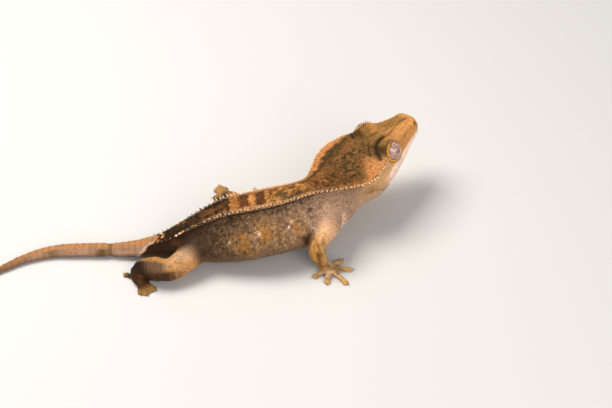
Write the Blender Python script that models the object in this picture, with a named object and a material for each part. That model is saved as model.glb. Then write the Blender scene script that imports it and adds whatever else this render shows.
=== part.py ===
"""A crested gecko, life size and still: head raised, body low, tail laid along the floor.

Frame: +X along the body towards the snout, +Y to the animal's left, +Z up. The floor is z = 0 and the
origin lies on it, under the middle of the animal. The form is drawn in millimetres for an animal of
DRAWN_LENGTH from snout to vent, and UNIT turns those into metres at the real size.
"""

import math
import random

import bmesh
import bpy
import numpy as np
from mathutils import Matrix, Vector

SNOUT_TO_VENT = 0.087  # real length of the animal without its tail
DRAWN_LENGTH = 77.5  # the same length in the drawing below
UNIT = SNOUT_TO_VENT / DRAWN_LENGTH
GAP = 0.0003 / UNIT  # left between pieces that touch
SEED = 7

# Where the pieces part, as stations: drawn millimetres back from the tip of the snout along the body.
NECK_START = 26.5
TORSO_START = 34.0
TAIL_START = 77.5
TAIL_MIDDLE = 100.0
TAIL_END_PIECE = 124.0
TAIL_TIP = 148.0
VENT_AT = (-36.1, -20.8, 4.75)  # the body's axis at TAIL_START

# The direction of the body's axis by station, in degrees.
HEADING = (
    (0, 43), (22, 43), (29, 46), (34, 42), (40, 29), (46, 17.5), (52, 9), (66, 7), (79, 2), (95, 0), (109, 1),
    (116, 15), (122, 28), (130, 38), (148, 52),
)
CLIMB = (
    (0, 10), (22, 10), (29, 13), (34, 16), (40, 16), (46, 12), (52, 7.5), (66, 12), (79, 13), (95, 3),
    (103, 0.8), (112, 2), (122, 2.5), (148, 2.5),
)
ROLL = ((0, 0), (24, 0), (36, -8), (52, -6), (72, -8), (83, 0), (148, 0))
# How far the axis runs for one step of station.
STRETCH = ((0, 1.13), (27, 1.13), (38, 1), (148, 1))

# Half sections of the body by station: w is the distance from the middle plane, h the height over the axis.
BACK_H = (
    (0, 0.6), (0.6, 1.6), (2, 2.4), (5, 2.9), (9, 3.5), (12, 4.2), (15, 4.4), (26, 4.6), (31, 5.3),
    (35.5, 6.6), (43, 8.2), (51, 9.0), (60, 9.0), (69, 7.2), (74, 5.6), (80, 3.9), (86, 2.9), (91, 2.5),
    (95, 2.15), (102, 2.1), (109, 1.95), (116, 1.65), (122, 1.35), (130, 1.0), (143, 0.6), (148, 0.2),
)
CREST_W = (
    (0, 0.9), (1, 2.4), (4, 3.5), (7.5, 4.3), (11, 6.0), (15, 7.5), (19, 9.0), (22.5, 9.9), (26.5, 9.2),
    (30, 7.1), (34, 4.6), (38, 3.5), (51, 3.9), (64, 3.7), (72, 3.2), (77.5, 2.6), (83, 1.9), (95, 1.2),
    (110, 1.1), (148, 0.1),
)
CREST_H = (
    (0, 0.5), (1, 1.6), (4, 2.5), (7.5, 3.0), (11, 4.0), (15, 3.8), (19, 3.2), (22.5, 2.9), (26.5, 3.1),
    (30, 3.7), (34, 5.0), (37.5, 6.5), (43, 8.0), (51, 8.7), (60, 8.7), (69, 6.9), (74, 5.3), (80, 3.5),
    (86, 2.5), (95, 1.75), (110, 1.6), (122, 1.1), (130, 0.85), (148, 0.15),
)
SIDE_W = (
    (0, 1.0), (0.5, 2.5), (1.5, 3.6), (4, 4.8), (7.5, 6.0), (11, 7.3), (15, 8.6), (19, 9.4), (22.5, 9.3),
    (26.5, 8.3), (31, 7.6), (36, 7.8), (41, 8.6), (48, 10.2), (55, 10.9), (62, 10.2), (69, 8.4), (74, 6.4),
    (80, 4.4), (85, 3.2), (91, 2.7), (95, 2.35), (102, 2.25), (109, 2.1), (116, 1.75), (122, 1.4),
    (130, 1.05), (143, 0.6), (148, 0.2),
)
SIDE_H = (
    (0, 0), (8, -0.6), (15, -1.6), (20, -2.6), (26.5, -1.8), (36, -0.8), (48, -1.2), (60, -1.4), (72, -0.3),
    (80, 0), (148, 0),
)
LOW_W = (
    (0, 0.8), (1.5, 2.9), (5, 4.3), (11, 6.4), (17, 8.2), (21, 8.6), (26.5, 7.5), (31, 7.3), (37, 7.9),
    (48, 7.6), (57, 7.9), (66, 6.8), (74, 4.7), (80, 3.1), (86, 2.2), (97, 1.6), (109, 1.5), (129, 0.75),
    (148, 0.15),
)
LOW_H = (
    (0, -0.5), (1.5, -1.9), (5, -3.2), (11, -4.9), (17, -6.6), (21, -7.2), (26.5, -7.1), (33, -7.3),
    (41, -6.8), (51, -5.9), (60, -5.8), (69, -5.1), (76, -3.7), (83, -2.4), (97, -1.5), (109, -1.4),
    (129, -0.75), (148, -0.15),
)
BELLY_H = (
    (0, -0.6), (1.2, -2.2), (4, -3.4), (9.5, -5.3), (15, -7.2), (20, -8.2), (26.5, -8.3), (31, -8.6),
    (37, -9.6), (43, -8.9), (50, -8.1), (58, -7.9), (67, -7.0), (74, -5.4), (80, -3.8), (88, -2.6),
    (95, -2.15), (109, -1.95), (122, -1.35), (130, -1.0), (148, -0.2),
)
# How far the flank falls in just under the crest, and how far the back dips inside it.
UNDERCUT = (
    (0, 0.0), (3, 0.3), (7, 0.5), (10, 0.2), (13, 0.5), (19, 0.9), (26, 0.7), (34, 0.5), (70, 0.45),
    (80, 0.1), (148, 0.0),
)
DIP = (
    (0, 0.0), (3, 0.1), (7, 0.35), (12, 0.1), (18, 0.25), (28, 0.2), (36, 0.35), (60, 0.35), (78, 0.1),
    (148, 0.0),
)

# Eyes, as station, w and h of the middle of the ball.
EYE_AT = (13.2, 5.2, 2.3)
EYE_RADIUS = 3.1
EYE_TURN = (0.2, 0.93, 0.3)  # the way it looks: forward, outward, up

LID_COVER = 0.6  # how thick the skin over the ball is
LID_OUT = 1.7  # the rim of the lids: how far out it lies from the middle of the ball
LID_RADIUS = 3.0
LID_THICK = 0.5

# The line of the mouth, from under the tip of the snout back, as the section corner it runs at by station.
MOUTH = ((0.35, 7), (0.7, 6.55), (1.3, 6.1), (2.6, 5.8), (6, 5.6), (12, 5.5), (17.2, 5.3))
MOUTH_GROOVE = 0.27
NOSTRIL_AT = (1.9, 3.3)  # station and corner
NOSTRIL_RADIUS = 0.42
EAR_AT = (22.4, 4.7)
EAR_HALVES = (1.35, 0.45, 0.8)  # along the body, across, into the head

# Spines stand in a row on each crest: station where a stretch starts, distance to the next spine, length.
SPINE_STRETCHES = (
    (14.0, 1.45, 1.0), (19.0, 1.35, 1.25), (30.0, 1.4, 1.15), (44.0, 1.6, 0.95), (62.0, 2.2, 0.7),
    (73.0, 3.0, 0.6),
)
SPINE_END = 81.5
SPINE_RADIUS = 0.4
SPINE_TIP = 0.09
SPINE_ROOT = 0.75
SPINE_SIDES = 5
SPINE_LEAN = (0.72, 0.66, -0.2)  # outward, up and forward
LASH_TURNS = (35, 60, 85, 110, 135)  # degrees round the lid from its front over its top
LASH_LEAN = 0.25
LASH_LENGTH = 0.5
LASH_THICK = 0.28

# Limbs: joints from inside the trunk outward, as a place, half width and half height there. The place is
# in drawn millimetres from the same point as VENT_AT, X forward, Y to the animal's left.
ARM_RIGHT = (
    ((6.6, -17.0, 12.4), 4.5, 3.6), ((6.6, -20.6, 11.4), 4.1, 3.4), ((3.2, -25.6, 8.9), 2.8, 2.7),
    ((3.4, -27.0, 5.9), 2.5, 2.4), ((4.9, -27.6, 3.0), 1.9, 1.6), ((6.5, -27.8, 1.5), 2.2, 1.4),
    ((8.3, -28.0, 1.0), 1.5, 1.0),
)
ARM_LEFT = (
    ((1.6, -12.5, 12.0), 4.4, 3.6), ((-1.0, -8.6, 10.6), 3.8, 3.2), ((-7.2, -4.9, 8.0), 2.8, 2.6),
    ((-10.6, -2.4, 5.6), 2.4, 2.3), ((-13.2, 0.0, 3.0), 1.8, 1.6), ((-14.2, 1.9, 1.5), 2.1, 1.4),
    ((-15.0, 3.6, 1.0), 1.5, 1.0),
)
LEG_RIGHT = (
    ((-28.0, -20.5, 7.2), 4.6, 4.0), ((-29.6, -24.4, 6.8), 4.3, 3.8), ((-37.0, -31.0, 4.3), 3.3, 3.1),
    ((-42.4, -31.0, 4.9), 3.2, 2.9), ((-46.8, -29.7, 3.3), 1.9, 1.9), ((-46.4, -31.8, 1.6), 2.2, 1.5),
    ((-45.4, -33.4, 1.0), 1.6, 1.0),
)
LEG_LEFT = (
    ((-28.0, -18.5, 6.6), 4.6, 4.0), ((-28.0, -14.0, 6.2), 4.2, 3.7), ((-20.4, -7.2, 4.8), 3.2, 2.9),
    ((-21.8, -3.2, 4.2), 3.0, 2.7), ((-24.0, 0.6, 2.8), 1.9, 1.8), ((-24.9, 2.8, 1.6), 2.1, 1.4),
    ((-25.5, 4.6, 1.0), 1.5, 1.0),
)
ELBOW = 2.0  # the joint's number along a limb's list, where the upper and the lower length part
WRIST = 4.0
PALM = 5
BEND_SPAN = 0.35  # over how much of a joint's number a bend is eased, so that sections don't cross
UPPER = (0.0, ELBOW + BEND_SPAN)  # the joints' numbers that each length takes its direction from
LOWER = (ELBOW, WRIST + BEND_SPAN)
ELBOW_COVER = 0.2  # how far the lower length reaches back round the end of the upper one
# Tips of the five digits, from the innermost round to the outermost, as X and Y.
TIPS = {
    "hand_right": ((10.7, -23.3), (13.6, -27.4), (11.9, -33.3), (5.7, -33.3), (1.6, -30.6)),
    "hand_left": ((-10.4, 1.6), (-12.2, 5.4), (-15.8, 7.0), (-18.6, 3.0), (-17.4, -1.4)),
    "foot_right": ((-40.4, -31.0), (-41.2, -35.6), (-43.5, -37.4), (-45.4, -37.2), (-51.3, -28.9)),
    "foot_left": ((-22.2, 2.4), (-24.4, 7.3), (-26.6, 8.3), (-27.8, 6.4), (-28.4, 2.0)),
}

DIGIT_STATIONS = (0, 0.3, 0.55, 0.72, 0.85, 0.94, 1)
DIGIT_WIDTH = ((0, 1.1), (0.4, 0.85), (0.6, 0.85), (0.82, 1.25), (0.93, 0.95), (1, 0.25))  # half widths
DIGIT_HEIGHT = ((0, 1.0), (0.4, 0.8), (0.7, 0.65), (0.9, 0.5), (1, 0.2))
DIGIT_Z = ((0, 1.3), (0.45, 1.05), (0.75, 0.33), (0.9, 0.25), (1, 0.2))

# Numbers of the corners of the body's section, counted from the back down one side.
CREST_CORNER = 2
BELLY_CORNER = 7
CORNERS = 14

TRUNK_SPACING = 1.5  # between the sections of the trunk that the limbs are cut by
# Points round each section.
HEAD_RING = 42
BODY_RING = 28
LIMB_RING = 16
DIGIT_RING = 8
LID_RING = 20


def curve(knots, x):
    """The height at x of a smooth line through the knots, which never swings past one."""
    xs, ys = np.array(knots, float).T
    widths = np.diff(xs)
    slopes = np.diff(ys) / widths
    at_knots = np.empty(len(xs))
    at_knots[0], at_knots[-1] = slopes[0], slopes[-1]
    left, right = slopes[:-1], slopes[1:]
    middle = (left * widths[1:] + right * widths[:-1]) / (widths[:-1] + widths[1:])
    steepest = 3 * np.minimum(abs(left), abs(right))
    at_knots[1:-1] = np.where(left * right > 0, np.sign(middle) * np.minimum(abs(middle), steepest), 0)
    x = np.clip(np.asarray(x, float), xs[0], xs[-1])
    i = np.clip(np.searchsorted(xs, x, side="right") - 1, 0, len(widths) - 1)
    t = (x - xs[i]) / widths[i]
    start = (2 * t**3 - 3 * t**2 + 1) * ys[i] + (t**3 - 2 * t**2 + t) * widths[i] * at_knots[i]
    return start + (3 * t**2 - 2 * t**3) * ys[i + 1] + (t**3 - t**2) * widths[i] * at_knots[i + 1]


def unit(vector):
    vector = np.asarray(vector, float)
    return vector / np.linalg.norm(vector)


def forward_at(station):
    heading, climb = np.radians(curve(HEADING, station)), np.radians(curve(CLIMB, station))
    level = np.cos(climb)
    return np.stack([level * np.cos(heading), level * np.sin(heading), np.sin(climb)], -1)


def axis_points():
    """The body's axis as stations and places, followed back from the snout in short steps."""
    stations = np.linspace(0, TAIL_TIP, 593)
    reach = curve(STRETCH, stations)[:, None] * forward_at(stations)
    steps = -(reach[1:] + reach[:-1]) / 2 * (stations[1] - stations[0])
    places = np.vstack([np.zeros(3), np.cumsum(steps, 0)])
    vent = [np.interp(TAIL_START, stations, places[:, i]) for i in range(3)]
    return stations, places - vent + np.array(VENT_AT)


AXIS_STATIONS, AXIS_PLACES = axis_points()


def body_frame(station):
    """The axis at a station, with the forward, left and up directions there."""
    place = np.array([np.interp(station, AXIS_STATIONS, AXIS_PLACES[:, i]) for i in range(3)])
    forward = forward_at(station)
    level_left = unit(np.cross((0, 0, 1), forward))
    level_up = np.cross(forward, level_left)
    roll = math.radians(curve(ROLL, station))
    left = level_left * math.cos(roll) + level_up * math.sin(roll)
    return place, forward, left, np.cross(forward, left)


def on_body(station, w, h):
    place, _, left, up = body_frame(station)
    return place + w * left + h * up


def closed_curve(corners, count):
    """Points of a smooth closed curve through the corners, as many on each stretch."""
    corners = np.array(corners, float)
    per_stretch = count // len(corners)
    t = np.linspace(0, 1, per_stretch, endpoint=False)[:, None]
    points = []
    for i in range(len(corners)):
        before, start, end, after = (corners[(i + k) % len(corners)] for k in (-1, 0, 1, 2))
        bend = (2 * before - 5 * start + 4 * end - after) * t**2
        bend = bend + (3 * start - before - 3 * end + after) * t**3
        points.append(0.5 * (2 * start + (end - before) * t + bend))
    return np.concatenate(points)


def half_section(station, grown=0.0):
    """The corners of the body's section at a station, right round from the back, made larger by grown."""
    back, belly = float(curve(BACK_H, station)) + grown, float(curve(BELLY_H, station)) - grown
    lines = ((CREST_W, CREST_H), (SIDE_W, SIDE_H), (LOW_W, LOW_H))
    crest, side, low = ((float(curve(w, station)), float(curve(h, station))) for w, h in lines)
    dip, undercut = float(curve(DIP, station)), float(curve(UNDERCUT, station))
    inner = (crest[0] * 0.6 + grown / 2, crest[1] + (back - crest[1]) * 0.55 - dip + grown / 2)
    drop = (crest[1] - side[1]) * 0.22
    under = (crest[0] + (side[0] - crest[0]) * 0.22 - undercut + grown, crest[1] - drop)
    flank_w = crest[0] + (side[0] - crest[0]) * 0.66 - undercut * 0.4 + grown
    flank = (flank_w, crest[1] - (crest[1] - side[1]) * 0.56)
    edge = (crest[0] + grown, crest[1] + grown * 0.6)
    half = [inner, edge, under, flank, (side[0] + grown, side[1]), (low[0] + grown, low[1] - grown)]
    return [(0, back), *half, (0, belly), *[(-w, h) for w, h in reversed(half)]]


def section_point(station, corner, side):
    """A place on the body's surface and the way out of it, at a number along the corners down one side."""
    corners = np.array(half_section(station))
    points = [corners[(int(corner) + k) % CORNERS] for k in (-1, 0, 1, 2)]
    before, start, end, after = points
    t = corner - int(corner)
    bend = (2 * before - 5 * start + 4 * end - after, 3 * start - before - 3 * end + after)
    w, h = 0.5 * (2 * start + (end - before) * t + bend[0] * t**2 + bend[1] * t**3)
    dw, dh = (end - before) + 2 * bend[0] * t + 3 * bend[1] * t**2
    _, _, left, up = body_frame(station)
    return on_body(station, side * w, h), unit(-dh * side * left + dw * up)


def body_ring(station, count, shift=0.0, grown=0.0):
    """One section of the body, moved forward by shift, with what would be under the floor flattened on it."""
    place, forward, left, up = body_frame(station)
    flat = closed_curve(half_section(station, grown), count)
    ring = place + shift * forward + flat[:, :1] * left + flat[:, 1:] * up
    if not grown:
        ring[:, 2] = np.maximum(ring[:, 2], 0)
    return ring


def body_rings(start, end, spacing, count):
    """Sections from one station to another, each end drawn back by half a gap from the piece beyond it."""
    stations = np.linspace(start, end, max(3, round((end - start) / spacing) + 1))
    shifts = np.zeros(len(stations))
    shifts[0] = -GAP / 2 if start > 0 else 0
    shifts[-1] = GAP / 2 if end < TAIL_TIP else 0
    return [body_ring(station, count, shift) for station, shift in zip(stations, shifts)]


def joint_value(values, at):
    """A value between the joints of a limb, on a smooth line through those at the joints."""
    values = [2 * values[0] - values[1], *values, 2 * values[-1] - values[-2]]
    i = min(int(at), len(values) - 4)
    before, start, end, after = values[i : i + 4]
    t = at - i
    bend = (2 * before - 5 * start + 4 * end - after) * t**2
    bend = bend + (3 * start - before - 3 * end + after) * t**3
    return 0.5 * (2 * start + (end - before) * t + bend)


def limb_frame(joints, at, reference, span):
    """The middle of a limb at a number along its joints, with the directions along, across and over it."""
    places = [np.array(joint[0]) for joint in joints]
    place = joint_value(places, at)
    before, after = max(at - BEND_SPAN, span[0]), min(at + BEND_SPAN, span[1])
    along = unit(joint_value(places, after) - joint_value(places, before))
    across = unit(np.cross(reference, along))
    return place, along, across, np.cross(along, across)


def limb_ring(joints, at, reference, span, shift=0.0, grown=0.0):
    width = joint_value([joint[1] for joint in joints], at) + grown
    height = joint_value([joint[2] for joint in joints], at) + grown
    place, along, across, over = limb_frame(joints, at, reference, span)
    angles = np.linspace(0, 2 * math.pi, LIMB_RING, endpoint=False)[:, None]
    ring = place + shift * along + width * np.cos(angles) * across + height * np.sin(angles) * over
    ring[:, 2] = np.maximum(ring[:, 2], 0)
    return ring


def limb_rings(joints, start, end, reference, span, count):
    """Sections of a limb between two joints' numbers, drawn back by half a gap at the far end."""
    numbers = np.linspace(start, end, count)
    shifts = np.zeros(count)
    shifts[-1] = -GAP / 2
    return [limb_ring(joints, number, reference, span, shift) for number, shift in zip(numbers, shifts)]


def palm_rings(joints, reference):
    """Level sections of a palm or sole, from inside the wrist or ankle to between the digits."""
    numbers = np.linspace(WRIST, len(joints) - 1, 6)
    places = [joint_value([np.array(joint[0]) for joint in joints], number) for number in numbers]
    along = unit(places[-1] - places[0])
    across = unit(np.cross(reference, along))
    angles = np.linspace(0, 2 * math.pi, LIMB_RING, endpoint=False)[:, None]
    rings = []
    for number, place in zip(numbers, places):
        width = joint_value([joint[1] for joint in joints], number)
        height = joint_value([joint[2] for joint in joints], number)
        ring = place + width * np.cos(angles) * across + height * np.sin(angles) * np.cross(along, across)
        ring[:, 2] = np.maximum(ring[:, 2], 0)
        rings.append(ring)
    return rings


def material(name, colour, roughness):
    made = bpy.data.materials.new(name)
    made.use_nodes = True
    shader = made.node_tree.nodes["Principled BSDF"]
    shader.inputs["Base Color"].default_value = (*colour, 1)
    shader.inputs["Roughness"].default_value = roughness
    shader.inputs["Metallic"].default_value = 0
    return made


def loft(name, rings, collection):
    """A closed mesh object through rings of points, with a fan over each end."""
    mesh = bmesh.new()
    rows = [[mesh.verts.new(point * UNIT) for point in ring] for ring in rings]
    count = len(rings[0])
    for near, far in zip(rows, rows[1:]):
        for i in range(count):
            k = (i + 1) % count
            mesh.faces.new((near[i], near[k], far[k], far[i]))
    for ring, row in ((rings[0], rows[0]), (rings[-1], rows[-1])):
        middle = mesh.verts.new(np.mean(ring, axis=0) * UNIT)
        for i in range(count):
            mesh.faces.new((row[i], row[(i + 1) % count], middle))
    bmesh.ops.recalc_face_normals(mesh, faces=mesh.faces)
    if mesh.calc_volume(signed=True) < 0:
        bmesh.ops.reverse_faces(mesh, faces=mesh.faces)
    data = bpy.data.meshes.new(name)
    mesh.to_mesh(data)
    mesh.free()
    made = bpy.data.objects.new(name, data)
    collection.objects.link(made)
    return made


def ball(name, middle, radius, segments, collection):
    mesh = bmesh.new()
    bmesh.ops.create_uvsphere(mesh, u_segments=segments, v_segments=segments // 2, radius=radius * UNIT)
    bmesh.ops.translate(mesh, verts=mesh.verts, vec=middle * UNIT)
    data = bpy.data.meshes.new(name)
    mesh.to_mesh(data)
    mesh.free()
    made = bpy.data.objects.new(name, data)
    collection.objects.link(made)
    return made


def spine(root, along, length, radius, collection):
    """A tapered spine whose root reaches into the skin."""
    depth = (length + SPINE_ROOT) * UNIT
    mesh = bmesh.new()
    bmesh.ops.create_cone(
        mesh, cap_ends=True, segments=SPINE_SIDES, depth=depth,
        radius1=radius * UNIT, radius2=SPINE_TIP * UNIT,
    )
    turn = Vector(along).to_track_quat("Z", "Y").to_matrix().to_4x4()
    middle = Vector((root + along * (length - SPINE_ROOT) / 2) * UNIT)
    bmesh.ops.transform(mesh, matrix=Matrix.Translation(middle) @ turn, verts=mesh.verts)
    data = bpy.data.meshes.new("spine")
    mesh.to_mesh(data)
    mesh.free()
    collection.objects.link(bpy.data.objects.new("spine", data))


def tube(points, radius, collection):
    """A closed mesh tube through points, by way of a curve."""
    line = bpy.data.curves.new("tube", "CURVE")
    line.dimensions = "3D"
    line.bevel_depth = radius * UNIT
    line.bevel_resolution = 1
    line.use_fill_caps = True
    spline = line.splines.new("POLY")
    spline.points.add(len(points) - 1)
    for point, place in zip(spline.points, points):
        point.co = (*(place * UNIT), 1)
    guide = bpy.data.objects.new("guide", line)
    collection.objects.link(guide)
    graph = bpy.context.evaluated_depsgraph_get()
    data = bpy.data.meshes.new_from_object(guide.evaluated_get(graph))
    bpy.data.objects.remove(guide)
    mesh = bmesh.new()
    mesh.from_mesh(data)
    bmesh.ops.remove_doubles(mesh, verts=mesh.verts, dist=1e-6)
    mesh.to_mesh(data)
    mesh.free()
    collection.objects.link(bpy.data.objects.new("tube", data))


def keep_largest(mesh):
    """Removes every closed surface of a mesh but the one that holds the most."""
    work = bmesh.new()
    work.from_mesh(mesh)
    bmesh.ops.triangulate(work, faces=work.faces)
    left = set(work.faces)
    pieces = []
    while left:
        piece, front = set(), [left.pop()]
        while front:
            face = front.pop()
            piece.add(face)
            for edge in face.edges:
                for other in edge.link_faces:
                    if other in left:
                        left.remove(other)
                        front.append(other)
        held = sum(f.verts[0].co.dot(f.verts[1].co.cross(f.verts[2].co)) for f in piece) / 6
        pieces.append((held, piece))
    largest = max(pieces, key=lambda pair: pair[0])[1]
    bmesh.ops.delete(work, geom=[f for f in work.faces if f not in largest], context="FACES")
    work.to_mesh(mesh)
    work.free()


def combine(body, helpers, operation, solver="MANIFOLD"):
    """Joins or cuts a body with every object of the helpers' collection and removes the helpers."""
    modifier = body.modifiers.new(operation.lower(), "BOOLEAN")
    modifier.operation = operation
    modifier.operand_type = "COLLECTION"
    modifier.collection = helpers
    modifier.solver = solver
    graph = bpy.context.evaluated_depsgraph_get()
    graph.update()
    made = bpy.data.meshes.new_from_object(body.evaluated_get(graph))
    body.modifiers.remove(modifier)
    old = body.data
    body.data = made
    bpy.data.meshes.remove(old)
    made.name = body.name
    keep_largest(made)
    for helper in list(helpers.objects):
        bpy.data.objects.remove(helper)


def digit_rings(base, tip):
    """Sections of one digit: slim, then a wide flat pad, then a claw."""
    base, tip = np.array(base), np.array(tip)
    along = unit(np.append(tip - base, 0))
    across = np.array((-along[1], along[0], 0))
    angles = np.linspace(0, 2 * math.pi, DIGIT_RING, endpoint=False)[:, None]
    rings = []
    for t in DIGIT_STATIONS:
        width, height, z = (float(curve(knots, t)) for knots in (DIGIT_WIDTH, DIGIT_HEIGHT, DIGIT_Z))
        middle = np.append(base + (tip - base) * t, z)
        ring = middle + width * np.cos(angles) * across + height * np.sin(angles) * np.array((0, 0, 1))
        ring[:, 2] = np.maximum(ring[:, 2], 0)
        rings.append(ring)
    return rings


def spine_places():
    """Station, side and length of each spine of the crests, each a little different from the next."""
    draw = random.Random(SEED)
    for side in (-1, 1):
        station = SPINE_STRETCHES[0][0]
        while station < SPINE_END:
            _, step, length = [row for row in SPINE_STRETCHES if row[0] <= station][-1]
            yield station, side, length * draw.uniform(0.8, 1.15)
            station += step * draw.uniform(0.9, 1.1)


def add_spines(part, start, end, helpers):
    """Fuses the crest spines that stand between two stations to a part."""
    clear = SPINE_RADIUS * 1.6
    for station, side, length in spine_places():
        if not start + clear < station < end - clear:
            continue
        root, _ = section_point(station, CREST_CORNER, side)
        _, forward, left, up = body_frame(station)
        outward, upward, ahead = SPINE_LEAN
        along = unit(outward * side * left + upward * up + ahead * forward)
        spine(root, along, length, SPINE_RADIUS, helpers)
    combine(part, helpers, "UNION")


def make_body(parts, helpers):
    """Neck, torso and tail, each a loft between two stations, with spines on the crests."""
    spans = {
        "neck": (NECK_START, TORSO_START, 1.25),
        "torso": (TORSO_START, TAIL_START, 1.6),
        "tail_base": (TAIL_START, TAIL_MIDDLE, 2.25),
        "tail_middle": (TAIL_MIDDLE, TAIL_END_PIECE, 2.4),
        "tail_tip": (TAIL_END_PIECE, TAIL_TIP, 2.4),
    }
    for name, (start, end, spacing) in spans.items():
        made = loft(name, body_rings(start, end, spacing, BODY_RING), parts)
        if start < SPINE_END:
            add_spines(made, start, end, helpers)


def eye_frame(side):
    """The middle of an eye and the way it looks, with two directions round it: forward, and over the top."""
    station, w, h = EYE_AT
    _, forward, left, up = body_frame(station)
    ahead, outward, upward = EYE_TURN
    look = unit(ahead * forward + outward * side * left + upward * up)
    front = unit(forward - look * np.dot(forward, look))
    return on_body(station, side * w, h), look, front, np.cross(look, front) * -side


def add_lids(side, helpers):
    """The skin over the ball of the eye up to a thick rim, with short lashes over it."""
    middle, look, front, top = eye_frame(side)
    ring = middle + look * LID_OUT
    cover = EYE_RADIUS + LID_COVER
    angles = np.linspace(0, 2 * math.pi, LID_RING, endpoint=False)[:, None]
    rings = []
    for out in np.linspace(-cover * 0.9, LID_OUT, 8):
        wide = math.sqrt(cover**2 - out**2)
        rings.append(middle + look * out + wide * (np.cos(angles) * front + np.sin(angles) * top))
    loft("lid", rings, helpers)
    bpy.ops.mesh.primitive_torus_add(
        major_segments=LID_RING, minor_segments=6,
        major_radius=LID_RADIUS * UNIT, minor_radius=LID_THICK * UNIT,
        location=ring * UNIT, rotation=Vector(look).to_track_quat("Z", "Y").to_euler(),
    )
    lid = bpy.context.object
    for collection in list(lid.users_collection):
        collection.objects.unlink(lid)
    helpers.objects.link(lid)
    for degrees in LASH_TURNS:
        turn = math.radians(degrees)
        round_lid = math.cos(turn) * front + math.sin(turn) * top
        root = ring + round_lid * LID_RADIUS
        spine(root, unit(round_lid + LASH_LEAN * look), LID_THICK + LASH_LENGTH, LASH_THICK, helpers)


def mouth_line():
    """Points along the mouth, from its right corner round the snout to its left."""
    stations = np.concatenate([np.linspace(MOUTH[-1][0], 2.6, 12), (1.9, 1.3, 0.95, 0.7, 0.5)])
    right = [section_point(station, float(curve(MOUTH, station)), -1)[0] for station in stations]
    left = [section_point(station, float(curve(MOUTH, station)), 1)[0] for station in reversed(stations)]
    return right + [section_point(MOUTH[0][0], BELLY_CORNER, 1)[0]] + left


def make_head(parts, helpers):
    """The skull with its lids, crests, mouth, nostrils and ears, and an eye in each socket."""
    snout = [0, 0.25, 0.6, 1.1, 1.8, 2.7]
    stations = snout + list(np.linspace(3.7, NECK_START, 22))
    rings = [body_ring(station, HEAD_RING) for station in stations[:-1]]
    rings.append(body_ring(NECK_START, HEAD_RING, GAP / 2))
    head = loft("head", rings, parts)
    for side in (-1, 1):
        add_lids(side, helpers)
    add_spines(head, 0, NECK_START, helpers)
    for side, name in ((-1, "eye_right"), (1, "eye_left")):
        middle = eye_frame(side)[0]
        ball("socket", middle, EYE_RADIUS + 1.2 * GAP, 24, helpers)
        ball(name, middle, EYE_RADIUS, 18, parts)
        ball("nostril", section_point(*NOSTRIL_AT, side)[0], NOSTRIL_RADIUS, 10, helpers)
        hollow, out = section_point(*EAR_AT, side)
        forward = body_frame(EAR_AT[0])[1]
        pit = ball("ear", np.zeros(3), 1, 12, helpers)
        axes = (forward, np.cross(out, forward), out)
        columns = [Vector(axis * half) for axis, half in zip(axes, EAR_HALVES)]
        turn = Matrix(columns).transposed().to_4x4()
        pit.data.transform(Matrix.Translation(Vector(hollow * UNIT)) @ turn)
    tube(mouth_line(), MOUTH_GROOVE, helpers)
    combine(head, helpers, "DIFFERENCE")


def clear_of(piece, joints, start, end, reference, span, helpers):
    """Cuts from a piece what comes nearer than a gap to the length of the limb before it."""
    rings = [limb_ring(joints, at, reference, span, 0, GAP) for at in np.linspace(start, end, 10)[:-1]]
    rings.append(limb_ring(joints, end, reference, span, GAP / 2, GAP))
    loft("length_cutter", rings, helpers)
    combine(piece, helpers, "DIFFERENCE")


def make_limb(names, joints, reference, parts, helpers):
    """Upper length, lower length and hand or foot, the upper one cut clear of the trunk."""
    upper_name, lower_name, end_name = names
    upper = loft(upper_name, limb_rings(joints, 0, ELBOW, reference, UPPER, 9), parts)
    lower = loft(lower_name, limb_rings(joints, ELBOW - ELBOW_COVER, WRIST, reference, LOWER, 9), parts)
    stations = np.arange(NECK_START, TAIL_MIDDLE, TRUNK_SPACING)
    trunk = [body_ring(station, BODY_RING, 0, GAP) for station in stations]
    clear_of(lower, joints, 0, ELBOW, reference, UPPER, helpers)
    for length in (upper, lower):
        loft("trunk_cutter", trunk, helpers)
        combine(length, helpers, "DIFFERENCE")
    end = loft(end_name, palm_rings(joints, reference), parts)
    palm = np.array(joints[PALM][0][:2])
    for tip in TIPS[end_name]:
        loft("digit", digit_rings(palm + 0.12 * (np.array(tip) - palm), tip), helpers)
    combine(end, helpers, "UNION")
    clear_of(end, joints, ELBOW - ELBOW_COVER, WRIST, reference, LOWER, helpers)


def colour_all(parts):
    colours = {
        "head": (0.45, 0.25, 0.10), "neck": (0.42, 0.30, 0.20), "torso": (0.25, 0.17, 0.10),
        "tail": (0.52, 0.36, 0.26), "eye": (0.50, 0.38, 0.38), "arm": (0.50, 0.36, 0.18),
        "hand": (0.42, 0.30, 0.12),
        "thigh": (0.48, 0.30, 0.14), "shin": (0.40, 0.28, 0.18), "foot": (0.38, 0.24, 0.09),
    }
    for part in parts.objects:
        key = next(word for word in colours if word in part.name)
        part.data.materials.clear()
        part.data.materials.append(material(part.name + "_skin", colours[key], 0.12 if key == "eye" else 0.6))
        part.data.shade_smooth()


def centre_on_floor(parts):
    """Moves every mesh so that the origin is on the floor under the middle of the animal."""
    corners = np.array([vertex.co for part in parts.objects for vertex in part.data.vertices])
    low, high = corners.min(0), corners.max(0)
    shift = np.array(((low[0] + high[0]) / 2, (low[1] + high[1]) / 2, low[2]))
    for part in parts.objects:
        places = np.empty(len(part.data.vertices) * 3)
        part.data.vertices.foreach_get("co", places)
        part.data.vertices.foreach_set("co", (places.reshape(-1, 3) - shift).ravel())
        part.data.update()


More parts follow.
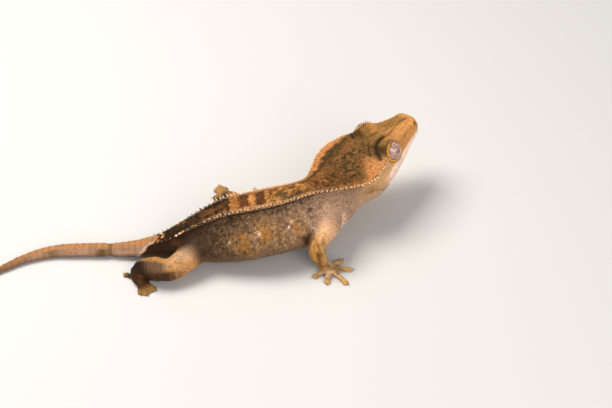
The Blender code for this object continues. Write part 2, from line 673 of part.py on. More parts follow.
for old in list(bpy.data.objects):
    bpy.data.objects.remove(old)
animal = bpy.data.collections.new("crested_gecko")
cutters = bpy.data.collections.new("cutters")
bpy.context.scene.collection.children.link(animal)
bpy.context.scene.collection.children.link(cutters)
make_head(animal, cutters)
make_body(animal, cutters)
FORWARD, UPWARD = (1, 0, 0), (0, 0, 1)
make_limb(("upper_arm_right", "forearm_right", "hand_right"), ARM_RIGHT, FORWARD, animal, cutters)
make_limb(("upper_arm_left", "forearm_left", "hand_left"), ARM_LEFT, UPWARD, animal, cutters)
make_limb(("thigh_right", "shin_right", "foot_right"), LEG_RIGHT, UPWARD, animal, cutters)
make_limb(("thigh_left", "shin_left", "foot_left"), LEG_LEFT, UPWARD, animal, cutters)
colour_all(animal)
centre_on_floor(animal)
bpy.data.collections.remove(cutters)
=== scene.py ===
"""The look of a crested gecko, life size and still: skin, crests, lids, eyes, lips, toes and claws.

The animal is drawn in the same millimetres as its solids, for DRAWN_LENGTH from snout to vent, and set on the
frame by the place of its right eye. A place on the trunk is a station, counted back from the snout, and a
corner, counted from the middle of the back down one side to the middle of the belly.
"""

import math

import bmesh
import bpy
import numpy as np
from mathutils import Matrix, Vector
from mathutils.kdtree import KDTree


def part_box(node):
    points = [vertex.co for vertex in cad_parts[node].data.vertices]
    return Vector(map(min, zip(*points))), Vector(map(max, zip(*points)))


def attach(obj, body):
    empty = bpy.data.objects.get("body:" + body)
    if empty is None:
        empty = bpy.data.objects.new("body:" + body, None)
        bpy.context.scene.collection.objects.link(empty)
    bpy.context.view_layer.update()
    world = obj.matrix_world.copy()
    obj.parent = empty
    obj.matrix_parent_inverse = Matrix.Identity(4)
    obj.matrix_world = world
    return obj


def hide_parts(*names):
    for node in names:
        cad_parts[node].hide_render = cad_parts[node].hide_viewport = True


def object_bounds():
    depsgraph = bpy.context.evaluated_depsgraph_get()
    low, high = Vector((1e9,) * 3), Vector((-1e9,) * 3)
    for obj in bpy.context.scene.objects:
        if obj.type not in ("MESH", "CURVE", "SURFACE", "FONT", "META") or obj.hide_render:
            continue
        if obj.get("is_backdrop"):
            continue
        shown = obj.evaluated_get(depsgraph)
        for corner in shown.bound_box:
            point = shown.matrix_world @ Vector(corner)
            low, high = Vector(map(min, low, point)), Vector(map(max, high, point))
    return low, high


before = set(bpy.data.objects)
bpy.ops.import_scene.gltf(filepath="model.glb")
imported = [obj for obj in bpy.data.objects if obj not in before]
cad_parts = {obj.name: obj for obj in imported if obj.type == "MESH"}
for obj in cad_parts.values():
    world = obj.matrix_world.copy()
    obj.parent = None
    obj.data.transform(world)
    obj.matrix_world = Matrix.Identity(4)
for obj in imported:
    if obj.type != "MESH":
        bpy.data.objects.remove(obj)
cad_low, cad_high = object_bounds()

# The trunk: head, neck, body and tail under one skin. The real animal is flesh over a light skeleton, and a
# museum casts it in one piece of tinted resin. Its form is a row of sections set along a bent axis.
REAL_LENGTH = 0.087
DRAWN_LENGTH = 77.5
UNIT = REAL_LENGTH / DRAWN_LENGTH
TAIL_TIP = 148.0
VENT_AT = (-36.1, -20.8, 4.75)
AXIS_STEPS = 593
SNOUT_END = 3
SNOUT_SPACING, TRUNK_SPACING = 0.15, 0.5
CORNERS = 14
TRUNK_RING = 112

# Values by station. The first three are angles in degrees: which way the axis heads, how it climbs and how
# the trunk rolls. STRETCH lengthens the head. The rest say how far out (W) and up (H) the corners stand.
HEADING = (
    (0, 43), (22, 43), (29, 46), (34, 42), (40, 29), (46, 17.5), (52, 9), (66, 7), (79, 2), (95, 0), (109, 1),
    (116, 15), (122, 28), (130, 38), (148, 52),
)
CLIMB = (
    (0, 10), (22, 10), (29, 13), (34, 16), (40, 16), (46, 12), (52, 7.5), (66, 12), (79, 13), (95, 3),
    (103, 0.8), (112, 2), (122, 2.5), (148, 2.5),
)
ROLL = ((0, 0), (24, 0), (36, -8), (52, -6), (72, -8), (83, 0), (148, 0))
STRETCH = ((0, 1.13), (27, 1.13), (38, 1), (148, 1))
BACK_H = (
    (0, 0.6), (0.6, 1.6), (2, 2.4), (5, 2.9), (9, 3.5), (12, 4.2), (15, 4.4), (26, 4.6), (31, 5.3),
    (35.5, 6.6), (43, 8.2), (51, 9.0), (60, 9.0), (69, 7.2), (74, 5.6), (80, 3.9), (86, 2.9), (91, 2.5),
    (95, 2.15), (102, 2.1), (109, 1.95), (116, 1.65), (122, 1.35), (130, 1.0), (143, 0.6), (148, 0.2),
)
CREST_W = (
    (0, 0.9), (1, 2.4), (4, 3.5), (7.5, 4.3), (11, 6.0), (15, 7.5), (19, 9.0), (22.5, 9.9), (26.5, 9.2),
    (30, 7.1), (34, 4.6), (38, 3.5), (51, 3.9), (64, 3.7), (72, 3.2), (77.5, 2.6), (83, 1.9), (95, 1.2),
    (110, 1.1), (148, 0.1),
)
CREST_H = (
    (0, 0.5), (1, 1.6), (4, 2.5), (7.5, 3.0), (11, 4.0), (15, 3.8), (19, 3.2), (22.5, 2.9), (26.5, 3.1),
    (30, 3.7), (34, 5.0), (37.5, 6.5), (43, 8.0), (51, 8.7), (60, 8.7), (69, 6.9), (74, 5.3), (80, 3.5),
    (86, 2.5), (95, 1.75), (110, 1.6), (122, 1.1), (130, 0.85), (148, 0.15),
)
SIDE_W = (
    (0, 1.0), (0.5, 2.5), (1.5, 3.6), (4, 4.8), (7.5, 6.0), (11, 7.3), (15, 8.6), (19, 9.4), (22.5, 9.3),
    (26.5, 8.3), (31, 7.6), (36, 7.8), (41, 8.6), (48, 10.2), (55, 10.9), (62, 10.2), (69, 8.4), (74, 6.4),
    (80, 4.4), (85, 3.2), (91, 2.7), (95, 2.35), (102, 2.25), (109, 2.1), (116, 1.75), (122, 1.4),
    (130, 1.05), (143, 0.6), (148, 0.2),
)
SIDE_H = (
    (0, 0), (8, -0.6), (15, -1.6), (20, -2.6), (26.5, -1.8), (36, -0.8), (48, -1.2), (60, -1.4), (72, -0.3),
    (80, 0), (148, 0),
)
LOW_W = (
    (0, 0.8), (1.5, 2.9), (5, 4.3), (11, 6.4), (17, 8.2), (21, 8.6), (26.5, 7.5), (31, 7.3), (37, 7.9),
    (48, 7.6), (57, 7.9), (66, 6.8), (74, 4.7), (80, 3.1), (86, 2.2), (97, 1.6), (109, 1.5), (129, 0.75),
    (148, 0.15),
)
LOW_H = (
    (0, -0.5), (1.5, -1.9), (5, -3.2), (11, -4.9), (17, -6.6), (21, -7.2), (26.5, -7.1), (33, -7.3),
    (41, -6.8), (51, -5.9), (60, -5.8), (69, -5.1), (76, -3.7), (83, -2.4), (97, -1.5), (109, -1.4),
    (129, -0.75), (148, -0.15),
)
BELLY_H = (
    (0, -0.6), (1.2, -2.2), (4, -3.4), (9.5, -5.3), (15, -7.2), (20, -8.2), (26.5, -8.3), (31, -8.6),
    (37, -9.6), (43, -8.9), (50, -8.1), (58, -7.9), (67, -7.0), (74, -5.4), (80, -3.8), (88, -2.6),
    (95, -2.15), (109, -1.95), (122, -1.35), (130, -1.0), (148, -0.2),
)
UNDERCUT = (
    (0, 0.0), (3, 0.3), (7, 0.5), (10, 0.2), (13, 0.5), (19, 0.9), (26, 0.7), (34, 0.5), (70, 0.45),
    (80, 0.1), (148, 0.0),
)
DIP = (
    (0, 0.0), (3, 0.1), (7, 0.35), (12, 0.1), (18, 0.25), (28, 0.2), (36, 0.35), (60, 0.35), (78, 0.1),
    (148, 0.0),
)

# Three corners stand between others, by these shares of the way: the inner one beside the crest, the one
# under the crest and the flank.
INNER_OUT, INNER_UP = 0.6, 0.55
UNDER_SHARE = 0.22
FLANK_OUT, FLANK_DOWN, FLANK_UNDERCUT = 0.66, 0.56, 0.4


def curve(knots, x):
    """The height at x of a smooth line through the knots, which never swings past one."""
    xs, ys = np.array(knots, float).T
    widths = np.diff(xs)
    slopes = np.diff(ys) / widths
    at_knots = np.empty(len(xs))
    at_knots[0], at_knots[-1] = slopes[0], slopes[-1]
    left, right = slopes[:-1], slopes[1:]
    middle = (left * widths[1:] + right * widths[:-1]) / (widths[:-1] + widths[1:])
    steepest = 3 * np.minimum(abs(left), abs(right))
    at_knots[1:-1] = np.where(left * right > 0, np.sign(middle) * np.minimum(abs(middle), steepest), 0)
    x = np.clip(np.asarray(x, float), xs[0], xs[-1])
    i = np.clip(np.searchsorted(xs, x, side="right") - 1, 0, len(widths) - 1)
    t = (x - xs[i]) / widths[i]
    start = (2 * t**3 - 3 * t**2 + 1) * ys[i] + (t**3 - 2 * t**2 + t) * widths[i] * at_knots[i]
    return start + (3 * t**2 - 2 * t**3) * ys[i + 1] + (t**3 - t**2) * widths[i] * at_knots[i + 1]


def unit(vectors):
    """Vectors made one long."""
    vectors = np.asarray(vectors, float)
    return vectors / np.maximum(np.linalg.norm(vectors, axis=-1, keepdims=True), 1e-9)


def forward_at(station):
    """The way the trunk points at a station, towards the snout."""
    heading, climb = np.radians(curve(HEADING, station)), np.radians(curve(CLIMB, station))
    level = np.cos(climb)
    return np.stack([level * np.cos(heading), level * np.sin(heading), np.sin(climb)], -1)


def axis_points():
    """The trunk's axis as stations and places, followed back from the snout in short steps."""
    stations = np.linspace(0, TAIL_TIP, AXIS_STEPS)
    reach = curve(STRETCH, stations)[:, None] * forward_at(stations)
    steps = -(reach[1:] + reach[:-1]) / 2 * (stations[1] - stations[0])
    places = np.vstack([np.zeros(3), np.cumsum(steps, 0)])
    vent = [np.interp(DRAWN_LENGTH, stations, places[:, i]) for i in range(3)]
    return stations, places - vent + np.array(VENT_AT)


AXIS_STATIONS, AXIS_PLACES = axis_points()


def trunk_frame(station):
    """The axis at a station, with the forward, left and up directions there."""
    place = np.array([np.interp(station, AXIS_STATIONS, AXIS_PLACES[:, i]) for i in range(3)])
    forward = forward_at(station)
    level_left = unit(np.cross((0, 0, 1), forward))
    level_up = np.cross(forward, level_left)
    roll = math.radians(curve(ROLL, station))
    left = level_left * math.cos(roll) + level_up * math.sin(roll)
    return place, forward, left, np.cross(forward, left)


def on_trunk(station, w, h):
    """A place so far to the left of the axis and so far above it."""
    place, _, left, up = trunk_frame(station)
    return place + w * left + h * up


def section_corners(station):
    """The corners of the trunk's section at a station, right round from the back."""
    back, belly = float(curve(BACK_H, station)), float(curve(BELLY_H, station))
    lines = ((CREST_W, CREST_H), (SIDE_W, SIDE_H), (LOW_W, LOW_H))
    crest, side, low = ((float(curve(w, station)), float(curve(h, station))) for w, h in lines)
    dip, undercut = float(curve(DIP, station)), float(curve(UNDERCUT, station))
    out, down = side[0] - crest[0], crest[1] - side[1]
    inner = (crest[0] * INNER_OUT, crest[1] + (back - crest[1]) * INNER_UP - dip)
    under = (crest[0] + out * UNDER_SHARE - undercut, crest[1] - down * UNDER_SHARE)
    flank = (crest[0] + out * FLANK_OUT - undercut * FLANK_UNDERCUT, crest[1] - down * FLANK_DOWN)
    half = [inner, crest, under, flank, side, low]
    return np.array([(0, back), *half, (0, belly), *[(-w, h) for w, h in reversed(half)]], float)


def through(points, t):
    """A place between the middle two of four points, on a smooth line through them."""
    before, start, end, after = points
    bend = (2 * before - 5 * start + 4 * end - after) * t**2
    bend = bend + (3 * start - before - 3 * end + after) * t**3
    return 0.5 * (2 * start + (end - before) * t + bend)


def on_floor(ring):
    """A ring with what would be under the floor flattened on it."""
    ring[:, 2] = np.maximum(ring[:, 2], 0)
    return ring


def trunk_ring(station):
    """One section of the trunk, as points right round it."""
    place, _, left, up = trunk_frame(station)
    corners = section_corners(station)
    t = np.linspace(0, 1, TRUNK_RING // CORNERS, endpoint=False)[:, None]
    flat = np.concatenate([
        through([corners[(i + k) % CORNERS] for k in (-1, 0, 1, 2)], t) for i in range(CORNERS)
    ])
    return on_floor(place + flat[:, :1] * left + flat[:, 1:] * up)


def trunk_point(station, corner, side):
    """A place on the trunk at a number along the corners down one side, and the way out of the skin there."""
    corners = section_corners(station)
    near = [corners[(int(corner) + k) % CORNERS] for k in (-1, 0, 1, 2)]
    t, small_step = corner - int(corner), 0.02
    (w, h), (w_on, h_on) = through(near, t), through(near, t + small_step)
    _, _, left, up = trunk_frame(station)
    out = -(h_on - h) * side * left + (w_on - w) * up
    return on_trunk(station, side * w, h), unit(out)


TRUNK_STATIONS = np.concatenate([
    np.arange(0, SNOUT_END, SNOUT_SPACING), np.arange(SNOUT_END, TAIL_TIP + 0.1, TRUNK_SPACING)
])
TRUNK_GRID = np.array([trunk_ring(station) for station in TRUNK_STATIONS])

# The limbs: two slim lengths each and a hand or foot with five toes that end in wide pads. They are cast in
# one with the trunk and run into it at shoulder and hip. Each is drawn as joints: a place, and half the
# limb's width and height there. The tips of its toes stand on the floor.
ARM_RIGHT = (
    ((6.6, -17.0, 12.4), 4.5, 3.6), ((6.6, -20.6, 11.4), 4.1, 3.4), ((3.2, -25.6, 8.9), 2.8, 2.7),
    ((3.4, -27.0, 5.9), 2.5, 2.4), ((4.9, -27.6, 3.0), 1.9, 1.6), ((6.5, -27.8, 1.5), 2.2, 1.4),
    ((8.3, -28.0, 1.0), 1.5, 1.0),
)
ARM_LEFT = (
    ((1.6, -12.5, 12.0), 4.4, 3.6), ((-1.0, -8.6, 10.6), 3.8, 3.2), ((-7.2, -4.9, 8.0), 2.8, 2.6),
    ((-10.6, -2.4, 5.6), 2.4, 2.3), ((-13.2, 0.0, 3.0), 1.8, 1.6), ((-14.2, 1.9, 1.5), 2.1, 1.4),
    ((-15.0, 3.6, 1.0), 1.5, 1.0),
)
LEG_RIGHT = (
    ((-28.0, -20.5, 7.2), 4.6, 4.0), ((-29.6, -24.4, 6.8), 4.3, 3.8), ((-37.0, -31.0, 4.3), 3.3, 3.1),
    ((-42.4, -31.0, 4.9), 3.2, 2.9), ((-46.8, -29.7, 3.3), 1.9, 1.9), ((-46.4, -31.8, 1.6), 2.2, 1.5),
    ((-45.4, -33.4, 1.0), 1.6, 1.0),
)
LEG_LEFT = (
    ((-28.0, -18.5, 6.6), 4.6, 4.0), ((-28.0, -14.0, 6.2), 4.2, 3.7), ((-20.4, -7.2, 4.8), 3.2, 2.9),
    ((-21.8, -3.2, 4.2), 3.0, 2.7), ((-24.0, 0.6, 2.8), 1.9, 1.8), ((-24.9, 2.8, 1.6), 2.1, 1.4),
    ((-25.5, 4.6, 1.0), 1.5, 1.0),
)
LIMBS = (ARM_RIGHT, ARM_LEFT, LEG_RIGHT, LEG_LEFT)
ACROSS_FROM = ((1, 0, 0), (0, 0, 1), (0, 0, 1), (0, 0, 1))
TOE_TIPS = (
    ((10.7, -23.3), (13.6, -27.4), (11.9, -33.3), (5.7, -33.3), (1.6, -30.6)),
    ((-10.4, 1.6), (-12.2, 5.4), (-15.8, 7.0), (-18.6, 3.0), (-17.4, -1.4)),
    ((-40.4, -31.0), (-41.2, -35.6), (-43.5, -37.4), (-45.4, -37.2), (-51.3, -28.9)),
    ((-22.2, 2.4), (-24.4, 7.3), (-26.6, 8.3), (-27.8, 6.4), (-28.4, 2.0)),
)
ELBOW, WRIST, PALM, LAST_JOINT = 2, 4, 5, 6
BEND_SPAN = 0.35
OVERLAP = 0.15
LIMB_RING, LIMB_STEPS, PALM_STEPS = 40, 28, 18
TOE_RING, TOE_STEPS = 24, 26
TOE_ROOT = 0.12
TOE_WIDTH = ((0, 1.1), (0.4, 0.85), (0.6, 0.85), (0.82, 1.25), (0.93, 0.95), (1, 0.25))
TOE_HEIGHT = ((0, 1.0), (0.4, 0.8), (0.7, 0.65), (0.9, 0.5), (1, 0.2))
TOE_Z = ((0, 1.3), (0.45, 1.05), (0.75, 0.33), (0.9, 0.25), (1, 0.2))


def joint_value(values, at):
    """A value between the joints of a limb, on a smooth line through those at the joints."""
    values = [2 * values[0] - values[1], *values, 2 * values[-1] - values[-2]]
    i = min(int(at), len(values) - 4)
    return through(values[i : i + 4], at - i)


def oval(count, width, across, height, upward):
    """Steps from the middle of an oval to points right round it."""
    turns = np.linspace(0, 2 * math.pi, count, endpoint=False)[:, None]
    return width * np.cos(turns) * across + height * np.sin(turns) * upward


def limb_ring(joints, at, reference, low, high):
    """One section of a limb, square to the limb's line between two numbers along its joints."""
    places = [np.array(joint[0]) for joint in joints]
    width, height = (joint_value([joint[k] for joint in joints], at) for k in (1, 2))
    before, after = max(at - BEND_SPAN, low), min(at + BEND_SPAN, high)
    along = unit(joint_value(places, after) - joint_value(places, before))
    across = unit(np.cross(reference, along))
    return on_floor(joint_value(places, at) + oval(LIMB_RING, width, across, height, np.cross(along, across)))


def toe_rings(base, tip):
    """Sections of one toe: slim, then a wide flat pad."""
    base, tip = np.array(base), np.array(tip)
    along = unit(tip - base)
    across = np.array((-along[1], along[0], 0))
    rings = []
    for t in np.linspace(0, 1, TOE_STEPS):
        width, height, z = (float(curve(knots, t)) for knots in (TOE_WIDTH, TOE_HEIGHT, TOE_Z))
        around = oval(TOE_RING, width, across, height, np.array((0, 0, 1)))
        rings.append(on_floor(np.append(base + (tip - base) * t, z) + around))
    return rings


def limb_lofts(joints, reference, tips):
    """All lofts of one limb, each a list of rings, running into one another at elbow and wrist."""
    def rings_between(start, end, low, high, steps):
        return [limb_ring(joints, at, reference, low, high) for at in np.linspace(start, end, steps)]

    upper = rings_between(0, ELBOW + OVERLAP, 0, ELBOW + BEND_SPAN, LIMB_STEPS)
    lower = rings_between(ELBOW - OVERLAP, WRIST + OVERLAP, ELBOW, WRIST, LIMB_STEPS)
    palm = rings_between(WRIST, LAST_JOINT, WRIST, LAST_JOINT, PALM_STEPS)
    middle = np.array(joints[PALM][0][:2])
    toes = [toe_rings(middle + TOE_ROOT * (np.array(tip) - middle), tip) for tip in tips]
    return [upper, lower, palm, *toes]


# The lids: thick folds of skin round each eye. A crested gecko can't blink. A clear scale covers the eye, and
# the lids stand round it as a raised rim with a fringe of soft spines over it.
EYE_AT = (13.2, 5.2, 2.3)
EYE_RADIUS = 3.1
EYE_TURN = (0.2, 0.93, 0.3)
LID_COVER = 0.5
LID_OUT = 1.35
LID_RADIUS = 3.02
LID_THICK, LID_HEAVIER_ABOVE = 0.32, 0.25
COVER_BACK, COVER_STEPS, COVER_RING = 0.9, 16, 48
RIM_STEPS, RIM_RING = 49, 16
SIDES = (-1, 1)


def eye_frame(side):
    """The middle of an eye and the way it looks, with two directions round it: forward, and over the top."""
    station, w, h = EYE_AT
    _, forward, left, up = trunk_frame(station)
    ahead, outward, upward = EYE_TURN
    look = unit(ahead * forward + outward * side * left + upward * up)
    front = unit(forward - look * np.dot(forward, look))
    return on_trunk(station, side * w, h), look, front, np.cross(look, front) * -side


def lid_lofts(side):
    """The cover over the ball up to its opening, and the rim round that, closed on itself."""
    middle, look, front, top = eye_frame(side)
    radius = EYE_RADIUS + LID_COVER
    cover, rim = [], []
    for out in np.linspace(-radius * COVER_BACK, LID_OUT, COVER_STEPS):
        wide = math.sqrt(radius**2 - out**2)
        cover.append(middle + look * out + oval(COVER_RING, wide, front, wide, top))
    for turn in np.linspace(0, 2 * math.pi, RIM_STEPS):
        away = math.cos(turn) * front + math.sin(turn) * top
        thick = LID_THICK * (1 + LID_HEAVIER_ABOVE * math.sin(turn))
        rim.append(middle + look * LID_OUT + away * LID_RADIUS + oval(RIM_RING, thick, away, thick, look))
    return cover, rim


# The skin: one soft, thin cover over all the flesh, grown from the trunk, limbs and lids without a seam. The
# lofts are fused on a fine grid and smoothed, and folds, mouth, nostrils and ears are pressed into it.
GRID = 0.36
eye_low, eye_high = (np.array(corner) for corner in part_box("eye_right"))
SHIFT = on_trunk(EYE_AT[0], -EYE_AT[1], EYE_AT[2]) * UNIT - (eye_low + eye_high) / 2


def to_frame(points):
    """Drawn millimetres as metres in the frame."""
    return np.asarray(points) * UNIT - SHIFT


def add_loft(mesh, rings, closed=False):
    """Adds a closed loft through rings of points to a bmesh, facing outwards."""
    first = len(mesh.faces)
    rows = [[mesh.verts.new(point) for point in ring] for ring in (rings[:-1] if closed else rings)]
    pairs = list(zip(rows, rows[1:])) + ([(rows[-1], rows[0])] if closed else [])
    for near, far in pairs:
        for i in range(len(near)):
            k = (i + 1) % len(near)
            mesh.faces.new((near[i], near[k], far[k], far[i]))
    if not closed:
        for ring, row in ((rings[0], rows[0]), (rings[-1], rows[-1])):
            middle = mesh.verts.new(np.mean(ring, axis=0))
            for i in range(len(row)):
                mesh.faces.new((row[i], row[(i + 1) % len(row)], middle))
    mesh.faces.ensure_lookup_table()
    fresh = list(mesh.faces[first:])
    bmesh.ops.recalc_face_normals(mesh, faces=fresh)
    held = 0.0
    for face in fresh:
        corners = [vert.co for vert in face.verts]
        for i in range(1, len(corners) - 1):
            held += corners[0].dot(corners[i].cross(corners[i + 1]))
    if held < 0:
        bmesh.ops.reverse_faces(mesh, faces=fresh)


def new_object(name, data):
    """An object in the scene that shows some data."""
    made = bpy.data.objects.new(name, data)
    bpy.context.scene.collection.objects.link(made)
    return made


def fused_skin():
    """All lofts as one closed surface of small, even squares, in drawn millimetres."""
    lofts = bmesh.new()
    add_loft(lofts, list(TRUNK_GRID))
    for joints, reference, tips in zip(LIMBS, ACROSS_FROM, TOE_TIPS):
        for rings in limb_lofts(joints, reference, tips):
            add_loft(lofts, rings)
    for side in SIDES:
        cover, rim = lid_lofts(side)
        add_loft(lofts, cover)
        add_loft(lofts, rim, closed=True)
    data = bpy.data.meshes.new("skin")
    lofts.to_mesh(data)
    lofts.free()
    made = new_object("skin", data)
    grid = made.modifiers.new("grid", "REMESH")
    grid.mode = "VOXEL"
    grid.voxel_size = GRID
    grid.adaptivity = 0
    graph = bpy.context.evaluated_depsgraph_get()
    fused = bpy.data.meshes.new_from_object(made.evaluated_get(graph))
    made.modifiers.remove(grid)
    made.data = fused
    bpy.data.meshes.remove(data)
    fused.name = "skin"
    return made


def read_points(mesh):
    """A mesh's points as rows."""
    points = np.empty(len(mesh.vertices) * 3)
    mesh.vertices.foreach_get("co", points)
    return points.reshape(-1, 3)


def read_edges(mesh):
    """The two points of each edge of a mesh."""
    edges = np.empty(len(mesh.edges) * 2, int)
    mesh.edges.foreach_get("vertices", edges)
    return edges.reshape(-1, 2)


def relaxed(points, edges, strength, rounds):
    """Points drawn towards the mean of their neighbours by a strength, round after round."""
    count = np.bincount(edges.ravel(), minlength=len(points))[:, None]
    for _ in range(rounds):
        total = np.zeros_like(points)
        for axis in range(3):
            total[:, axis] = np.bincount(edges[:, 0], points[edges[:, 1], axis], len(points))
            total[:, axis] += np.bincount(edges[:, 1], points[edges[:, 0], axis], len(points))
        points = points + strength * (total / np.maximum(count, 1) - points)
    return points


def rise(low, high, x):
    """0 below low, 1 above high, with a soft step between."""
    t = np.clip((x - low) / (high - low), 0, 1)
    return t * t * (3 - 2 * t)


def bump_at(x, middle, width):
    """A soft hill, 1 at the middle."""
    return np.exp(-(((x - middle) / width) ** 2))


def grain(points, size, seed):
    """Smooth noise from -1 to 1 with features of a size, at places of any number of dimensions."""
    points = np.asarray(points, float) / size + seed * 17.31
    base = np.floor(points).astype(np.int64)
    part = points - base
    part = part * part * (3 - 2 * part)
    total = np.zeros(len(points))
    primes = np.array((73856093, 19349663, 83492791))[: points.shape[1]]
    for corner in range(2 ** points.shape[1]):
        offset = np.array([(corner >> k) & 1 for k in range(points.shape[1])])
        mixed = ((base + offset) * primes).sum(1) + seed * 7919
        mixed = (mixed ^ (mixed >> 13)) * 1274126177
        mixed = (mixed ^ (mixed >> 16)) & 0xFFFF
        weight = np.prod(np.where(offset, part, 1 - part), axis=1)
        total += weight * (mixed / 32767.5 - 1)
    return total


TRUNK_TREE = KDTree(TRUNK_GRID.shape[0] * TRUNK_GRID.shape[1])
for number, place in enumerate(TRUNK_GRID.reshape(-1, 3)):
    TRUNK_TREE.insert(place, number)
TRUNK_TREE.balance()
LIMB_NUMBERS = np.linspace(0, LAST_JOINT, 41)
LIMB_PLACES = [
    np.array([joint_value([np.array(joint[0]) for joint in joints], at) for at in LIMB_NUMBERS])
    for joints in LIMBS
]


class Survey:
    """Where points lie on the animal.

    station, corner and side say where on the trunk, number counts the corners right round, and out is how far
    off the trunk's own surface. which is the nearest limb, reach how far its middle line is, at the number
    along its joints, and palm_gap how far its palm is. limb and limb_tint say how much a point is limb.
    """

    def __init__(self, points):
        self.points = points
        near = np.array([TRUNK_TREE.find(point)[1] for point in points])
        row, column = near // TRUNK_RING, near % TRUNK_RING
        before, after = np.maximum(row - 1, 0), np.minimum(row + 1, len(TRUNK_STATIONS) - 1)
        away = points - TRUNK_GRID[row, column]
        along = TRUNK_GRID[after, column] - TRUNK_GRID[before, column]
        around = TRUNK_GRID[row, (column + 1) % TRUNK_RING] - TRUNK_GRID[row, column - 1]
        share = (away * along).sum(1) / np.maximum((along**2).sum(1), 1e-6)
        turn = (away * around).sum(1) / np.maximum((around**2).sum(1), 1e-6)
        share, turn = np.clip(share, -0.6, 0.6), np.clip(turn, -0.6, 0.6)
        self.station = TRUNK_STATIONS[row] + share * (TRUNK_STATIONS[after] - TRUNK_STATIONS[before])
        self.number = np.mod((column + 2 * turn) * CORNERS / TRUNK_RING, CORNERS)
        self.side = np.where(self.number <= CORNERS / 2, 1, -1)
        self.corner = np.minimum(self.number, CORNERS - self.number)
        self.out = (away * unit(np.cross(around, along))).sum(1)
        self.find_limbs(points)

    def find_limbs(self, points):
        """Adds the nearest limb of each point and the point's place on it."""
        gaps = np.array([np.linalg.norm(points[:, None] - places[None], axis=2) for places in LIMB_PLACES])
        self.which = gaps.min(2).argmin(0)
        self.reach = gaps.min(2).min(0)
        self.at = LIMB_NUMBERS[np.take_along_axis(gaps.argmin(2), self.which[None], 0)[0]]
        in_reach = rise(16, 10, self.reach)
        self.limb = rise(0.35, 1.5, self.out) * in_reach
        self.limb_tint = rise(0.3, 3.4, self.out) * in_reach
        self.palms = np.array([joints[PALM][0] for joints in LIMBS])[self.which]
        self.palm_gap = np.linalg.norm((points - self.palms)[:, :2], axis=1)


# Places on the head that both the form and the colours follow: the mouth's line and the nostrils as station
# and corner, and the corner that the crest's edge runs along.
MOUTH = ((0.35, 7), (0.7, 6.55), (1.3, 6.1), (2.6, 5.8), (6, 5.6), (12, 5.5), (17.2, 5.3))
NOSTRIL_AT = (2.0, 2.5)
NOSTRILS = [trunk_point(*NOSTRIL_AT, side)[0] for side in SIDES]
CREST_CORNER = 2


def mouth_points():
    """Places along the mouth from its right corner round the snout to its left."""
    stations = np.concatenate([np.linspace(MOUTH[-1][0], 2.6, 40), np.linspace(2.5, 0.4, 16)])
    return np.array([
        trunk_point(station, min(float(curve(MOUTH, station)), 6.95), side)[0]
        for side, order in ((-1, stations), (1, stations[::-1])) for station in order
    ])


def gap_to(points, place):
    """How far points are from one place."""
    return np.linalg.norm(points - place, axis=1)


def gap_to_line(points, line):
    """How far points are from a row of places."""
    tree = KDTree(len(line))
    for number, place in enumerate(line):
        tree.insert(place, number)
    tree.balance()
    return np.array([tree.find(point)[2] for point in points])


# Lines on the skin: on which sides, through which places on the body (station and corner), how wide, in which
# colour and how strongly, and how deep they are pressed. They are the folds behind the eyes, the wrinkles of
# crown and snout, and the opening of each ear with its rim.
STROKES = (
    (
        (-1,), ((12.0, 0.36), (13.7, 0.35), (15.0, 0.42), (16.2, 0.62), (17.0, 0.9), (17.8, 1.3)),
        0.62, "dark", 0.8, 0.26,
    ),
    ((1,), ((12.0, 0.36), (13.7, 0.35), (15.0, 0.42), (16.2, 0.62), (17.0, 0.9)), 0.35, "umber", 0.6, 0.14),
    ((-1,), ((12.6, 0.34), (14.5, 0.36), (15.8, 0.52), (17.0, 0.9)), 0.42, "dark", 0.9, 0.1),
    ((-1,), ((16.7, 0.08), (17.6, 0.3), (18.9, 0.65)), 0.26, "dark", 0.85, 0.12),
    ((1,), ((15.6, 1.9), (16.4, 1.6), (17.0, 1.1)), 0.5, "dark", 0.9, 0.1),
    (
        (-1,), ((2.9, -0.05), (4.2, 0.0), (5.7, 0.09), (7.5, 0.22), (9.1, 0.36), (11.0, 0.5)),
        0.32, "olive", 0.85, 0.1,
    ),
    ((-1,), ((2.7, 0.0), (3.4, 0.02)), 0.5, "rust", 0.8, 0.05),
    ((1,), ((6.0, 0.7), (8.0, 0.75), (10.0, 0.8)), 0.25, "olive", 0.5, 0.06),
    ((-1, 1), ((18.4, 5.5), (20.5, 5.43), (22.5, 5.14), (24.4, 4.93)), 0.22, "stripe", 1.0, 0.24),
    ((-1, 1), ((22.2, 5.2), (23.4, 5.04)), 0.22, "dark", 0.7, 0.35),
    ((-1, 1), ((24.0, 5.15), (25.2, 5.1)), 0.5, "khaki", 0.6, -0.05),
)
MOUTH_HILLS = ((-0.26, 0, 0.18), (0.1, 0.65, 0.4))
NOSTRIL_HILLS = ((-0.5, 0, 0.32), (0.12, 0.7, 0.3))
LID_HILLS = ((0.1, 5.9, 0.45), (-0.1, 3.75, 0.25))
SKIN_SUNK = -0.08
TAIL_RING_STEP, TAIL_NECK_AT = 1.9, 97.3


def stroke_line(places, side):
    """Points along a line on the body."""
    steps, marks = np.linspace(0, len(places) - 1, 8 * len(places)), range(len(places))
    line = zip(*(np.interp(steps, marks, column) for column in zip(*places)))
    return np.array([trunk_point(station, abs(corner), side)[0] for station, corner in line])


def hills(gap, shapes):
    """The sum of soft hills round a place, each with a height, a distance and a width."""
    return sum(high * bump_at(gap, at, wide) for high, at, wide in shapes)


